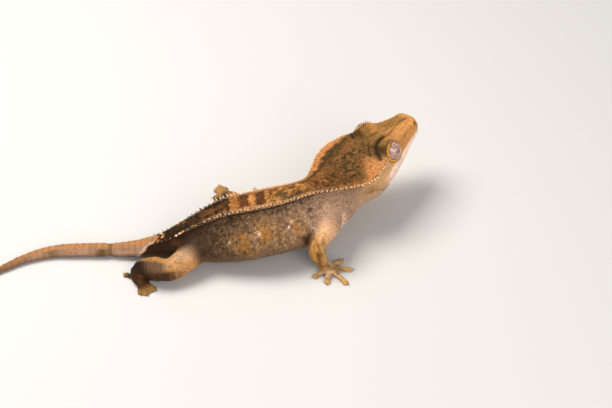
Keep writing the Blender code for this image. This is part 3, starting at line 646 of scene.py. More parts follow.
def head_push(points):
    """How far points on the head go out: for mouth and lips, lines, nostrils and the folds round the lids."""
    push = hills(gap_to_line(points, mouth_points()), MOUTH_HILLS)
    for sides, places, wide, _, _, depth in STROKES:
        for side in sides:
            gap = gap_to_line(points, stroke_line(places, side))
            push += hills(gap, ((-depth, 0, wide), (0.3 * depth, 2.4 * wide, wide)))
    for side, nostril in zip(SIDES, NOSTRILS):
        push += hills(gap_to(points, nostril), NOSTRIL_HILLS)
        middle, _, front, _ = eye_frame(side)
        gap = gap_to(points, middle)
        behind = rise(-0.2, 0.6, (points - middle) @ -front / np.maximum(gap, 1e-3))
        push += behind * hills(gap, LID_HILLS)
    return push


def press_features(points, normals, survey):
    """Moves the skin's points in or out: head, loose neck, flanks, crests, tail rings and tendons."""
    station, corner = survey.station, survey.corner
    push = np.full(len(points), SKIN_SUNK)
    head = station < 30
    push[head] += head_push(points[head])
    trunk = 1 - survey.limb
    neck = bump_at(station, 33, 6) * rise(2.2, 3.2, corner)
    push += 0.1 * neck * np.sin(station * 3.4 + 2.2 * grain(points, 4.0, 5)) * trunk
    flank = rise(2.4, 3.4, corner) * rise(6.6, 5.6, corner) * bump_at(station, 54, 17) * trunk
    push += 0.08 * flank * grain(np.stack([station, corner * 0.8, np.zeros(len(points))], -1), 1.7, 9)
    push += 0.1 * trunk * rise(30, 40, station) * grain(points, 3.2, 3)
    crown = bump_at(station, 24, 7) * rise(2.2, 1.6, corner)
    push += 0.07 * crown * grain(points, 1.3, 8) - 0.16 * crown * rise(0.5, 0.0, corner)
    push += 0.35 * bump_at(corner, CREST_CORNER, 0.28) * bump_at(station, 25, 7)
    rings = rise(84, 90, station) * trunk
    push += 0.05 * rings * np.sin(station * 2 * math.pi / TAIL_RING_STEP)
    push -= 0.28 * rings * bump_at(station, TAIL_NECK_AT, 0.9)
    push += 0.06 * survey.limb * grain(points, 1.6, 4)
    return points + normals * push[:, None]


def split_near(made, wanted):
    """Halves the edges of the squares round the points that are wanted, for finer forms there."""
    mesh = bmesh.new()
    mesh.from_mesh(made.data)
    mesh.verts.ensure_lookup_table()
    edges = [edge for edge in mesh.edges if wanted[edge.verts[0].index] and wanted[edge.verts[1].index]]
    bmesh.ops.subdivide_edges(mesh, edges=edges, cuts=1, use_grid_fill=True)
    bmesh.ops.triangulate(mesh, faces=[face for face in mesh.faces if len(face.verts) > 4])
    mesh.to_mesh(made.data)
    mesh.free()


def write_points(mesh, points):
    """Moves a mesh's points."""
    mesh.vertices.foreach_set("co", np.asarray(points, float).ravel())
    mesh.update()


def read_normals(mesh):
    """The way out of the mesh at each point."""
    normals = np.empty(len(mesh.vertices) * 3)
    mesh.vertex_normals.foreach_get("vector", normals)
    return normals.reshape(-1, 3)


# Round the nostrils and ears, the mouth, the eyes and the lines, the skin's squares are halved out to these
# distances. The smoothing has a strength and a number of rounds, and is strongest round joints and lids.
FINE_PLACES = ((*NOSTRIL_AT, 1.8), (22.4, 4.7, 2.4))
FINE_MOUTH, FINE_EYE, FINE_LINE = 0.9, 4.6, 0.8
SMOOTH_FIRST, SMOOTH_JOINTS, SMOOTH_LAST = (0.5, 4), (0.6, 30), (0.4, 2)
JOINTS_SMOOTHED = ((1, 1, 6.5), (ELBOW, 0.6, 4.0))
LID_SMOOTHED = ((0.6, 4.6, 0.9),)


def wants_finer(points):
    """Which points are near the mouth, nostrils, ears, eyes or a line on the head."""
    wanted = np.zeros(len(points), bool)
    head = np.where(points[:, 0] > 0)[0]
    wanted[head] = gap_to_line(points[head], mouth_points()) < FINE_MOUTH
    for side in SIDES:
        for station, corner, size in FINE_PLACES:
            wanted |= gap_to(points, trunk_point(station, corner, side)[0]) < size
        wanted |= gap_to(points, eye_frame(side)[0]) < FINE_EYE
    for sides, places, *_ in STROKES:
        for side in sides:
            wanted[head] |= gap_to_line(points[head], stroke_line(places, side)) < FINE_LINE
    return wanted


def shape_skin(made):
    """Smooths the fused grid, most at the shoulders and hips, refines the face and presses its features."""
    points, edges = read_points(made.data), read_edges(made.data)
    points = relaxed(points, edges, *SMOOTH_FIRST)
    weights = np.zeros(len(points))
    for joints in LIMBS:
        for joint, much, size in JOINTS_SMOOTHED:
            gap = gap_to(points, np.array(joints[joint][0]))
            weights = np.maximum(weights, much * bump_at(gap, 0, size))
    for side in SIDES:
        weights = np.maximum(weights, hills(gap_to(points, eye_frame(side)[0]), LID_SMOOTHED))
    strength, rounds = SMOOTH_JOINTS
    points = relaxed(points, edges, strength * weights[:, None], rounds)
    write_points(made.data, points)
    split_near(made, wants_finer(points))
    points, edges = read_points(made.data), read_edges(made.data)
    points = relaxed(points, edges, *SMOOTH_LAST)
    write_points(made.data, points)
    points = press_features(points, read_normals(made.data), Survey(points))
    write_points(made.data, on_floor(points))


# The markings: the same colours on the skin and on every scale and spine that grows from it, as a museum's
# painter lays them over the cast. They are display colours named for what they cover, and are mixed by place
# on the body, with soft noise for the mottling.
TINTS = {
    "crown": (0.64, 0.44, 0.24), "umber": (0.27, 0.19, 0.08), "rust": (0.50, 0.30, 0.14),
    "snout": (0.80, 0.57, 0.32), "margin": (0.83, 0.56, 0.31), "olive": (0.38, 0.29, 0.15),
    "khaki": (0.56, 0.41, 0.21), "dark": (0.12, 0.07, 0.025), "cheek": (0.84, 0.66, 0.46),
    "throat": (0.74, 0.60, 0.49), "lip": (1.0, 0.88, 0.80), "flank": (0.53, 0.41, 0.30),
    "grey": (0.42, 0.34, 0.26), "bark": (0.28, 0.20, 0.12), "ochre": (0.66, 0.43, 0.17),
    "neck": (0.66, 0.52, 0.42), "chest": (0.93, 0.79, 0.70), "belly": (0.45, 0.33, 0.245),
    "band": (0.78, 0.54, 0.27), "cream": (0.81, 0.58, 0.34), "rump": (0.13, 0.075, 0.015),
    "liver": (0.185, 0.105, 0.05), "tail": (0.68, 0.51, 0.40), "tail_top": (0.71, 0.48, 0.28),
    "arm": (0.90, 0.70, 0.52), "forearm": (0.74, 0.54, 0.27), "stripe": (0.36, 0.22, 0.10),
    "hand": (0.83, 0.67, 0.51), "thigh": (0.76, 0.60, 0.455), "shin": (0.42, 0.315, 0.22),
    "foot": (0.235, 0.135, 0.035), "pad": (0.74, 0.55, 0.30), "orange": (0.79, 0.55, 0.30),
    "lid": (1.0, 0.70, 0.15), "white": (0.95, 0.88, 0.80), "blush": (0.70, 0.49, 0.35),
}


MOTTLING = ((3.4, 21), (1.5, 22), (0.85, 23), (0.55, 24))
SIDES_APART = 40
TAIL_FROM = 82.3
OCHRE_BLOTCHES = (
    (59.6, 4.35, 2.3, 0.55, 0.75), (52.0, 4.15, 2.0, 0.5, 0.95), (46.0, 4.5, 2.4, 0.6, 0.6),
    (52.6, 3.35, 2.2, 0.35, 0.25), (56.5, 4.9, 2.0, 0.4, 0.5), (44.0, 4.1, 1.6, 0.5, 0.4),
)
BAND_BLOCKS = (
    (50.3, 53.4, -1.4, 1.5, "stripe", 0.95), (43.8, 46.0, -0.9, 0.9, "olive", 0.7),
    (55.2, 58.1, -1.0, 1.5, "stripe", 0.95), (56.8, 58.0, -1.6, -0.9, "rust", 0.8),
    (54.6, 55.7, -1.6, -0.9, "rust", 0.7), (49.3, 50.7, -2, 2, "cream", 0.5),
    (57.9, 60.4, -2, 2, "rust", 0.35), (53.9, 54.9, -1.9, 1.9, "cream", 0.3),
    (39.0, 42.6, -1.4, -0.2, "olive", 0.4),
)
CROWN_EDGE_LEFT = ((16, 1.8), (20, 1.6), (24, 1.4), (29, 1.3), (33, 1.5), (36, 1.7))
CROWN_EDGE_RIGHT = ((16, 1.75), (18, 1.2), (19.5, 0.7), (20.6, 0.6), (22.6, 1.05), (24.2, 1.55), (26, 1.85))
FLANK_SPOTS = (
    (54.2, 4.0, 0.42, "white"), (45.5, 3.86, 0.34, "white"), (62.5, 4.2, 0.3, "white"),
    (46.8, 4.1, 0.28, "white"), (59.2, 4.9, 0.45, "dark"), (40.2, 3.7, 0.5, "dark"),
)


def linear(tint):
    """A display colour as the linear one that a shader mixes."""
    tint = np.asarray(tint, float)
    return np.where(tint <= 0.04045, tint / 12.92, ((tint + 0.055) / 1.055) ** 2.4)


class Paint:
    """Colours at points, over which tints are laid one after the other by an amount at each point."""

    def __init__(self, count, name):
        self.colours = np.tile(np.array(TINTS[name]), (count, 1))

    def lay(self, name, amount):
        self.colours += (np.array(TINTS[name]) - self.colours) * np.clip(amount, 0, 1)[:, None]


def flank_tints(lay, survey, middle, fine, specks):
    """Grey-brown flanks, dark under the crest and towards the hips, with ochre blotches in upright rows."""
    station, corner = survey.station, survey.corner
    shift = survey.side * SIDES_APART
    streaks = grain(np.stack([station, corner * 0.3 + shift], -1), 0.55, 11)
    dashes = 0.5 * grain(np.stack([station, corner * 1.9 + shift], -1), 0.7, 12) + 0.8 * specks
    lay("neck", 0.9 * rise(53, 42, station))
    lay("grey", 0.55 * rise(-0.1, 0.6, streaks * 0.7 + fine * 0.5) * rise(34, 44, station))
    lay("bark", 0.85 * rise(53, 65, station + 3 * middle - 2.0 * (corner - 3.4)))
    lay("bark", 0.5 * rise(3.9, 2.5, corner + 0.3 * middle - 0.5 * specks) * rise(26, 50, station))
    mottled = rise(0.1, 0.7, streaks * 0.6 + middle * 0.8)
    lay("ochre", 0.35 * mottled * rise(2.9, 3.8, corner) * rise(38, 46, station) * rise(66, 60, station))
    pale = rise(0.05, 0.6, dashes) * rise(34, 46, station) * rise(68, 54, station + 2 * (corner - 3.4))
    lay("cheek", pale * (0.2 + 0.25 * rise(3.0, 4.2, corner)))
    lay("dark", 0.42 * rise(0.05, 0.6, -dashes) * rise(32, 46, station) * rise(5.6, 3.6, corner))
    grit = grain(survey.points, 0.42, 26) * rise(30, 44, station) * rise(5.8, 4.6, corner)
    lay("dark", 0.3 * rise(0.05, 0.6, grit))
    lay("neck", 0.4 * rise(0.05, 0.6, -grit) * rise(76, 62, station))
    mottled = rise(-0.6, 0.5, streaks * 0.5 + fine * 0.6 + specks * 0.6)
    for at_station, at_corner, wide, tall, much in OCHRE_BLOTCHES:
        blotch = bump_at(station, at_station, wide) * bump_at(corner, at_corner, tall)
        lay("ochre", 1.1 * much * blotch * mottled)
    lay("belly", rise(4.8, 5.9, corner + 0.25 * middle) * rise(28, 36, station))
    lay("chest", 0.85 * bump_at(station, 34, 6) * rise(4.3, 5.5, corner + 0.2 * middle))
    armpit = np.linalg.norm((survey.points - [2.0, -24.5, 9.3]) / [3.2, 3.0, 2.4], axis=1)
    lay("liver", 0.85 * rise(1.35, 0.5, armpit + 0.25 * middle))
    lay("dark", 0.85 * bump_at(corner, 2.42, 0.12) * rise(26, 34, station) * rise(86, 78, station))


def band_tints(lay, survey, middle, fine, specks):
    """The band between the crests, mottled and blocked with brown."""
    station, corner = survey.station, survey.corner
    rough = 0.3 * fine + 0.25 * specks
    band = rise(2.3, 2.05, corner) * rise(30, 35, station)
    inner = band * rise(2.0, 1.55, corner)
    grit = grain(survey.points, 0.4, 27)
    lay("band", band)
    lay("rust", 0.75 * inner * rise(-0.3, 0.4, 0.5 * middle + fine))
    lay("umber", 0.75 * inner * rise(0.1, 0.5, 0.5 * middle + specks) * rise(60, 48, station))
    front = rise(52, 46, station) * rise(33, 41, station)
    lay("umber", 0.8 * inner * front * rise(-0.25, 0.5, grit + 0.4 * middle))
    lay("rust", 0.5 * band * rise(-0.2, 0.6, -grit) * rise(46, 54, station))
    lay("cream", 0.4 * band * rise(0.2, 0.6, 0.4 * fine - specks))
    along, across = station + rough, survey.side * corner + rough
    for start, end, inside, outside, name, much in BAND_BLOCKS:
        long = rise(start - 0.2, start + 0.2, along) * rise(end + 0.2, end - 0.2, along)
        wide = rise(inside - 0.12, inside + 0.12, across) * rise(outside + 0.12, outside - 0.12, across)
        lay(name, much * band * long * wide)


def rump_tints(lay, survey, middle, fine, specks):
    """The dark brown rump, with a rusty front and a broken pale line along the crest."""
    station, corner, side = survey.station, survey.corner, survey.side
    along = station + 0.3 * fine + 0.25 * specks
    rump = rise(60.4, 60.9, along) * rise(0.4, -0.4, station - TAIL_FROM - 1.1 * corner + 0.6 * middle)
    top = rump * rise(2.3, 2.05, corner)
    lay("rump", top * rise(-1.4, -0.2, middle + 0.5 * fine))
    lay("rust", 0.4 * top * rise(0.2, 0.6, middle + 0.6 * specks))
    lay("olive", 0.25 * top * rise(0.2, 0.6, fine))
    right = rise(1.2, 0.4, side * corner)
    rusty = top * bump_at(station, 65.2, 3.2) * rise(2.0, 1.6, corner) * right
    lay("rust", 0.85 * rusty * rise(-0.4, 0.4, fine + specks))
    lay("rust", 0.6 * top * bump_at(along, 68.2, 0.8) * rise(1.9, 1.5, corner))
    lay("margin", 0.8 * top * bump_at(station, 63.8, 0.6) * bump_at(corner, 1.6, 0.45) * (side < 0))
    lay("margin", 0.55 * rump * bump_at(corner, 2.05, 0.2) * rise(-0.3, 0.4, fine) * rise(80, 62, station))
    flank = rump * rise(2.0, 2.5, corner) * rise(64, 76, station)
    lay("liver", 0.9 * flank * rise(5.6, 4.6, corner))
    lay("rust", 0.35 * flank * rise(0.2, 0.7, middle + 0.3 * fine))
    lay("dark", 0.7 * flank * bump_at(corner, 2.45, 0.3))


def tail_tints(lay, survey, coarse, middle, fine, specks):
    """The pale tail, with a tan top, a dark ring where it bends and a few faint blotches."""
    station, corner = survey.station, survey.corner
    edge = station - TAIL_FROM - 1.1 * corner + 0.6 * middle
    tail = rise(-0.3, 0.3, edge)
    lay("tail", tail)
    lay("tail_top", 0.85 * tail * rise(2.6, 0.8, corner + 0.3 * middle))
    lay("grey", 0.25 * tail * rise(0.2, 0.8, fine * 0.5 + middle * 0.6))
    lay("orange", 0.3 * tail * rise(0.2, 0.8, -middle + 0.5 * specks))
    lay("chest", 0.3 * tail * bump_at(corner, 4.0, 1.2) * rise(-0.3, 0.6, coarse))
    lay("grey", 0.22 * tail * rise(0.2, 0.9, np.sin(station * 2 * math.pi / TAIL_RING_STEP + middle)))
    lay("olive", 0.9 * tail * bump_at(station, 98.2 + 0.3 * corner, 1.6) * rise(2.2, 3.4, corner))
    lay("olive", 0.7 * tail * bump_at(station, 97.0, 0.6))
    lay("olive", 0.45 * tail * bump_at(station, 113.8, 1.4) * rise(1.4, 2.4, corner))
    lay("grey", 0.6 * tail * rise(4.6, 6.2, corner))
    lay("stripe", 0.35 * tail * rise(116, 130, station))
    lay("white", 0.6 * bump_at(edge, 0.7, 0.5) * rise(0.5, 1.2, corner))


def crown_tints(lay, survey, coarse, middle, fine, specks):
    """The brown, finely mottled crown and its orange edges under the crests."""
    station, corner = survey.station, survey.corner
    left, right = survey.side > 0, survey.side < 0
    head, over = rise(35, 32, station), rise(2.35, 2.1, corner)
    lay("cheek", head * rise(2.0, 2.4, corner) * rise(31, 25, station))
    lay("neck", head * rise(23, 31, station) * rise(2.1, 2.6, corner))
    lay("grey", 0.75 * bump_at(corner, 2.8, 0.75) * bump_at(station, 27, 4.5))
    lay("crown", head * over)
    crown = over * rise(12.5, 16, station) * rise(38, 35, station)
    reach = np.where(left, curve(CROWN_EDGE_LEFT, station), curve(CROWN_EDGE_RIGHT, station))
    inner = rise(reach + 0.12, reach - 0.2, corner + 0.2 * fine + 0.12 * specks)
    soft = rise(reach + 0.3, reach - 0.4, corner + 0.25 * fine + 0.2 * specks)
    inner = crown * np.where(right & (station < 26), soft, inner)
    grit = grain(survey.points, 0.38, 25)
    nape = rise(24, 31, station)
    lay("olive", 0.8 * inner)
    lay("umber", 0.7 * inner * rise(-0.1, 0.5, middle * 0.3 + fine * 0.5 + coarse * 0.4 + specks * 0.4))
    lay("rust", 0.85 * inner * rise(-0.15, 0.4, -middle * 0.4 + specks * 0.8 + 0.2 * nape))
    lay("crown", 0.6 * inner * rise(0.2, 0.7, -fine * 0.6 + specks * 0.8))
    mottled = grit * 0.8 - specks * 0.5 + coarse * 0.45 + 0.1 * middle - 0.1 * nape
    lay("dark", 0.7 * inner * rise(0.05, 0.9, mottled))
    lay("crown", 0.35 * inner * rise(0.1, 0.8, -grit))
    lay("umber", 0.75 * crown * bump_at(corner, reach - 0.3, 0.25) * rise(16, 20, station) * left)
    outer = crown - inner
    lay("margin", 0.9 * outer)
    lay("blush", 0.35 * outer * bump_at(station, 19.5, 3.0) * right)
    lay("rust", 0.5 * outer * rise(0.0, 0.7, specks + 0.4 * fine))
    lay("rust", 0.12 * outer * left)


def snout_tints(lay, survey, middle, fine):
    """The golden snout, greener on its far side and between the eyes."""
    station, corner, left = survey.station, survey.corner, survey.side > 0
    snout = rise(13.5, 9.5, station) * rise(5.3, 4.3, corner)
    lay("snout", snout)
    lay("margin", 0.5 * snout * rise(0, 0.7, middle))
    lay("khaki", 0.8 * rise(2.0, 1.1, corner) * bump_at(station, 13.5, 3.2))
    lay("khaki", 0.8 * rise(2.0, 1.4, corner) * rise(11, 9, station) * rise(2.0, 4.0, station) * left)
    lay("olive", 0.5 * snout * rise(0.3, 0.6, fine) * rise(2.2, 1.6, corner) * rise(2.0, 5.0, station) * left)


def face_tints(lay, survey, middle, fine):
    """Pale lips and throat, dark nostrils, and the domes and rims of the lids."""
    station, corner, points = survey.station, survey.corner, survey.points
    head = rise(33, 29, station)
    mouth = curve(MOUTH, station)
    lay("throat", head * rise(4.8, 5.6, corner + 0.1 * middle))
    lay("lip", 0.95 * head * rise(mouth - 0.92, mouth - 0.62, corner) * rise(20, 16, station))
    lay("throat", 0.6 * head * rise(6.1, 6.6, corner) * rise(2, 6, station))
    lay("stripe", 0.3 * bump_at(corner, mouth, 0.05) * rise(17.6, 17.0, station))
    lay("khaki", 0.5 * bump_at(station, 24, 2.5) * bump_at(corner, 4.6, 0.5))
    for side, nostril in zip(SIDES, NOSTRILS):
        away = gap_to(points, nostril)
        lay("rust", 0.8 * bump_at(away, 0, 0.55))
        lay("dark", bump_at(away, 0, 0.42))
        eye, look, front, top = eye_frame(side)
        away = points - eye
        gap = np.linalg.norm(away, axis=1)
        ahead, outward = away @ front / np.maximum(gap, 1e-3), away @ look
        flat = np.linalg.norm(away - outward[:, None] * look, axis=1)
        dome = rise(4.1, 3.8, gap) * rise(-0.6, 0.0, away @ top)
        lay("orange", 0.75 * dome * rise(-0.1, 0.4, ahead))
        lay("khaki", 0.9 * dome * rise(0.1, -0.3, ahead))
        lay("rust", 0.6 * dome * bump_at(ahead, 0.1, 0.25) * rise(0.2, 0.8, outward))
        lay("umber", 0.8 * dome * rise(-0.35, -0.8, ahead + 0.15 * fine) * rise(1.6, 0.6, outward))
        rim = rise(3.22, 3.08, flat) * rise(0.7, 1.1, outward)
        lay("lid", rim * rise(0.05, -0.45, ahead))
        lay("snout", 0.8 * rim * rise(-0.4, 0.1, ahead))
        shown = rise(0.3, 0.9, outward)
        lay("stripe", 0.9 * bump_at(flat, 3.36, 0.14) * shown * rise(0.2, -0.3, ahead))
        lay("stripe", 0.7 * bump_at(flat, 3.75, 0.3) * shown * bump_at(ahead, 0.25, 0.3))
        opening = LID_RADIUS - LID_THICK
        lay("dark", rise(opening + 0.12, opening, flat) * rise(0.5, 1.0, outward))


def trunk_tints(survey):
    """The colours of head, trunk and tail, with single spots and the lines on the head over them."""
    points = survey.points
    coarse, middle, fine, specks = (grain(points, size, seed) for size, seed in MOTTLING)
    paint = Paint(len(points), "flank")
    flank_tints(paint.lay, survey, middle, fine, specks)
    band_tints(paint.lay, survey, middle, fine, specks)
    rump_tints(paint.lay, survey, middle, fine, specks)
    tail_tints(paint.lay, survey, coarse, middle, fine, specks)
    crown_tints(paint.lay, survey, coarse, middle, fine, specks)
    snout_tints(paint.lay, survey, middle, fine)
    face_tints(paint.lay, survey, middle, fine)
    for at_station, at_corner, size, name in FLANK_SPOTS:
        away = np.hypot(survey.station - at_station, (survey.corner - at_corner) * 3.4)
        paint.lay(name, 0.8 * (survey.side < 0) * bump_at(away + 0.15 * fine, 0, size))
    for sides, places, wide, name, much, _ in STROKES:
        for side in sides:
            paint.lay(name, much * bump_at(gap_to_line(points, stroke_line(places, side)), 0, wide))
    return paint.colours


def arm_paint(survey, middle):
    """Ochre arms with brown streaks inside, paler at the shoulders and hands."""
    points, at = survey.points, survey.at
    streaks = grain((points + 0.25 * points[:, 2:] * [1, 0, 0]) * [1.1, 0.7, 0.1], 0.75, 33)
    paint = Paint(len(points), "forearm")
    paint.lay("arm", rise(2.4, 1.4, at) * rise(-4.5, 0.5, points[:, 0] - 0.4 * (points[:, 2] - 10)))
    paint.lay("neck", rise(1.5, 0.8, at))
    inside = 0.35 + 0.65 * rise(5.5, 2.5, points[:, 0] - 0.1 * points[:, 2])
    paint.lay("stripe", 0.75 * inside * rise(0.0, 0.5, streaks) * rise(1.5, 2.2, at) * rise(4.6, 4.1, at))
    paint.lay("white", 0.3 * rise(0.35, 0.6, -streaks) * rise(1.8, 2.4, at) * rise(4.4, 3.8, at))
    paint.lay("hand", rise(3.8, 4.6, at))
    paint.lay("khaki", 0.5 * rise(3.8, 4.6, at) * rise(-0.1, 0.5, middle))
    return paint


def leg_paint(survey, middle, fine):
    """Pale thighs, orange below, brown shins with an orange upper edge, and dark feet."""
    points, at = survey.points, survey.at
    height = points[:, 2]
    step = LAST_JOINT / (len(LIMB_NUMBERS) - 1)
    nearest = np.clip(np.round(at / step).astype(int), 0, len(LIMB_NUMBERS) - 1)
    over = (points - np.array(LIMB_PLACES)[survey.which, nearest]) @ [0, 0.68, 0.73]
    paint = Paint(len(points), "shin")
    paint.lay("thigh", rise(2.7, 1.9, at))
    low = rise(8.6, 6.4, height + 0.6 * middle) * rise(2.5, 2.1, at)
    paint.lay("orange", 0.75 * low)
    paint.lay("thigh", 0.4 * low * rise(0.0, 0.5, fine))
    knee = bump_at(at, 2.3, 0.3) * rise(6.6, 5.4, height)
    paint.lay("stripe", knee)
    paint.lay("dark", 0.35 * knee)
    paint.lay("liver", 0.95 * rise(2.9, 3.5, at + 0.15 * middle))
    paint.lay("liver", 0.6 * rise(6.6, 5.0, height) * rise(2.2, 2.5, at))
    paint.lay("foot", rise(4.0, 4.8, at))
    paint.lay("dark", 0.9 * bump_at(at, 3.7, 0.5))
    paint.lay("orange", 0.3 * rise(4.4, 5.2, at) * rise(0.1, 0.6, middle))
    paint.lay("orange", 0.85 * rise(1.35, 2.25, over + 0.15 * fine) * rise(2.1, 2.5, at) * rise(4.2, 3.8, at))
    paint.lay("pad", 0.85 * (survey.which == 3) * rise(3.2, 4.2, at))
    return paint


def limb_tints(survey):
    """The colours of the limbs, with the spots and pale pads that arms and legs share."""
    points, at = survey.points, survey.at
    middle, fine, specks = (grain(points, size, seed) for size, seed in ((1.4, 31), (0.7, 32), (0.42, 34)))
    paint = leg_paint(survey, middle, fine)
    paint.colours = np.where((survey.which < 2)[:, None], arm_paint(survey, middle).colours, paint.colours)
    paint.lay("stripe", 0.35 * rise(0.1, 0.7, middle + 0.4 * fine) * rise(1.2, 2.2, at))
    paint.lay("stripe", 0.35 * rise(0.3, 0.6, specks) * rise(1.0, 2.0, at))
    paint.lay("pad", 0.65 * rise(2.8, 5.0, survey.palm_gap) * rise(3.5, 4.5, at))
    paint.lay("throat", 0.5 * rise(1.2, 0.2, points[:, 2]) * rise(0.4, 0.0, points[:, 2]))
    return paint.colours


def markings(survey):
    """Linear colours for the points of a survey."""
    trunk, limbs = trunk_tints(survey), limb_tints(survey)
    share = survey.limb_tint[:, None]
    return linear(np.clip(trunk * (1 - share) + limbs * share, 0, 1))


def store(mesh, name, kind, values, domain="POINT"):
    """Keeps a value for each point of a mesh under a name."""
    field = {"FLOAT": "value", "FLOAT_VECTOR": "vector", "FLOAT_COLOR": "color"}[kind]
    made = mesh.attributes.new(name, kind, domain)
    made.data.foreach_set(field, np.ascontiguousarray(values, dtype=float).ravel())


def with_alpha(colours):
    """Colours with a fourth column of ones."""
    return np.concatenate([colours, np.ones((len(colours), 1))], axis=1)


def unwrapped(survey):
    """Where each point lies on the skin laid flat: the trunk below, the four limbs in a row above it."""
    trunk = np.stack([0.02 + 0.96 * survey.station / TAIL_TIP, 0.02 + 0.6 * survey.number / CORNERS], -1)
    gap = survey.points - survey.palms
    turn = np.arctan2(gap[:, 1], gap[:, 0]) / (2 * math.pi) + 0.5
    left = 0.02 + 0.24 * survey.which
    hand = np.stack([left + 0.2 * turn, 0.68 + 0.3 * np.clip(survey.reach / 12, 0, 1)], -1)
    length = np.stack([left + 0.2 * survey.at / LAST_JOINT, 0.66 + 0.3 * hand[:, 1]], -1)
    limb = np.where((survey.palm_gap > 3)[:, None], length, hand)
    return np.where((survey.limb > 0.5)[:, None], limb, trunk)


skin = fused_skin()
shape_skin(skin)
skin_points = read_points(skin.data)
skin_survey = Survey(skin_points)
store(skin.data, "markings", "FLOAT_COLOR", with_alpha(markings(skin_survey)))
store(skin.data, "spot", "FLOAT_VECTOR", np.pad(unwrapped(skin_survey), ((0, 0), (0, 1))))


class Flow:
    """One socket's value in a node tree. Arithmetic on it adds the tree's Math nodes."""

    def __init__(self, tree, socket):
        self.tree, self.socket = tree, socket

    def maths(self, operation, *values):
        return self.tree.node("ShaderNodeMath", {"operation": operation}, dict(enumerate(values)))

    def __add__(self, other):
        return self.maths("ADD", self, other)

    def __sub__(self, other):
        return self.maths("SUBTRACT", self, other)

    def __rsub__(self, other):
        return self.maths("SUBTRACT", other, self)

    def __mul__(self, other):
        return self.maths("MULTIPLY", self, other)

    def __truediv__(self, other):
        return self.maths("DIVIDE", self, other)

    def __rtruediv__(self, other):
        return self.maths("DIVIDE", other, self)

    def __pow__(self, other):
        return self.maths("POWER", self, other)

    def __abs__(self):
        return self.maths("ABSOLUTE", self)

    def larger(self, other):
        return self.maths("MAXIMUM", self, other)

    def clear_of(self, low, high):
        """0 at low, 1 at high, with a soft step between."""
        settings = {"interpolation_type": "SMOOTHSTEP"}
        sockets = {"Value": self, "From Min": low, "From Max": high}
        return self.tree.node("ShaderNodeMapRange", settings, sockets)

    __radd__ = __add__
    __rmul__ = __mul__


class Tree:
    """A node tree, to which one method adds every node. The others add nodes that come often."""

    def __init__(self, tree):
        self.tree = tree

    def node(self, kind, settings=None, sockets=None, output=None):
        made = self.tree.nodes.new(kind)
        for name, value in (settings or {}).items():
            setattr(made, name, value)
        for name, value in (sockets or {}).items():
            if isinstance(name, int):
                target = made.inputs[name]
            else:
                target = next(socket for socket in made.inputs if socket.name == name and socket.enabled)
            if isinstance(value, Flow):
                self.tree.links.new(value.socket, target)
            else:
                target.default_value = value
        if not made.outputs:
            return None
        if output is None:
            return Flow(self, next(socket for socket in made.outputs if socket.enabled))
        return Flow(self, made.outputs[output])

    def kept(self, name, output):
        """A value that the mesh keeps, for a shader."""
        return self.node("ShaderNodeAttribute", {"attribute_name": name}, output=output)

    def mixed(self, share, first, second, blend="MIX"):
        """Two colours mixed by a share."""
        settings = {"data_type": "RGBA", "blend_type": blend}
        return self.node("ShaderNodeMix", settings, {0: share, "A": first, "B": second}, output=2)

    def shaded(self, colour, shade):
        """A colour made lighter or darker by one number."""
        grey = self.node("ShaderNodeCombineXYZ", {}, {0: shade, 1: shade, 2: shade})
        return self.mixed(1.0, colour, grey, "MULTIPLY")


class Finish:
    """A fresh material with its tree and its Principled shader."""

    def __init__(self, name, numbers):
        self.material = bpy.data.materials.new(name)
        self.material.use_nodes = True
        self.shader = self.material.node_tree.nodes["Principled BSDF"]
        self.tree = Tree(self.material.node_tree)
        for label, value in numbers.items():
            self.shader.inputs[label].default_value = value

    def feed(self, label, flow):
        self.tree.tree.links.new(flow.socket, self.shader.inputs[label])


def skin_finish():
    """Dry, finely beaded skin in the markings' colours."""
    finish = Finish("gecko_skin", {"Roughness": 0.52, "Specular IOR Level": 0.12})
    tree = finish.tree
    place = tree.node("ShaderNodeTexCoord", output="Object")
    sockets = {"Vector": place, "Scale": 2300.0, "Randomness": 0.8}
    high = 1.0 - tree.node("ShaderNodeTexVoronoi", {"feature": "F1"}, sockets, output="Distance")
    speckle = tree.node("ShaderNodeTexNoise", {}, {"Vector": place, "Scale": 1500.0, "Detail": 3.0})
    shade = high * 0.35 + speckle * 0.5 + 0.52
    finish.feed("Base Color", tree.shaded(tree.kept("markings", "Color"), shade))
    bump = tree.node("ShaderNodeBump", {}, {"Strength": 0.55, "Distance": 0.00008, "Height": high})
    finish.feed("Normal", bump)
    return finish.material


FLESH = (
    "head", "neck", "torso", "tail_base", "tail_middle", "tail_tip", "upper_arm_right", "forearm_right",
    "hand_right", "upper_arm_left", "forearm_left", "hand_left", "thigh_right", "shin_right", "foot_right",
    "thigh_left", "shin_left", "foot_left",
)
write_points(skin.data, to_frame(skin_points))
skin.data.shade_smooth()
skin.data.materials.clear()
skin.data.materials.append(skin_finish())
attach(skin, "root")
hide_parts(*FLESH)

# The eyes: wet, clear-covered balls with a pale, marbled iris and an upright slit that closes to a thin, wavy
# line by day. A model maker's are glass. Each sits in its ring of lids.
EYE_RINGS, EYE_STEPS = 72, 40
CORNEA_PROUD = 0.05
IRIS_TINTS = ((0.36, (0.46, 0.28, 0.22)), (0.62, (0.91, 0.73, 0.67)))
PUPIL_TINT = (0.10, 0.07, 0.08)


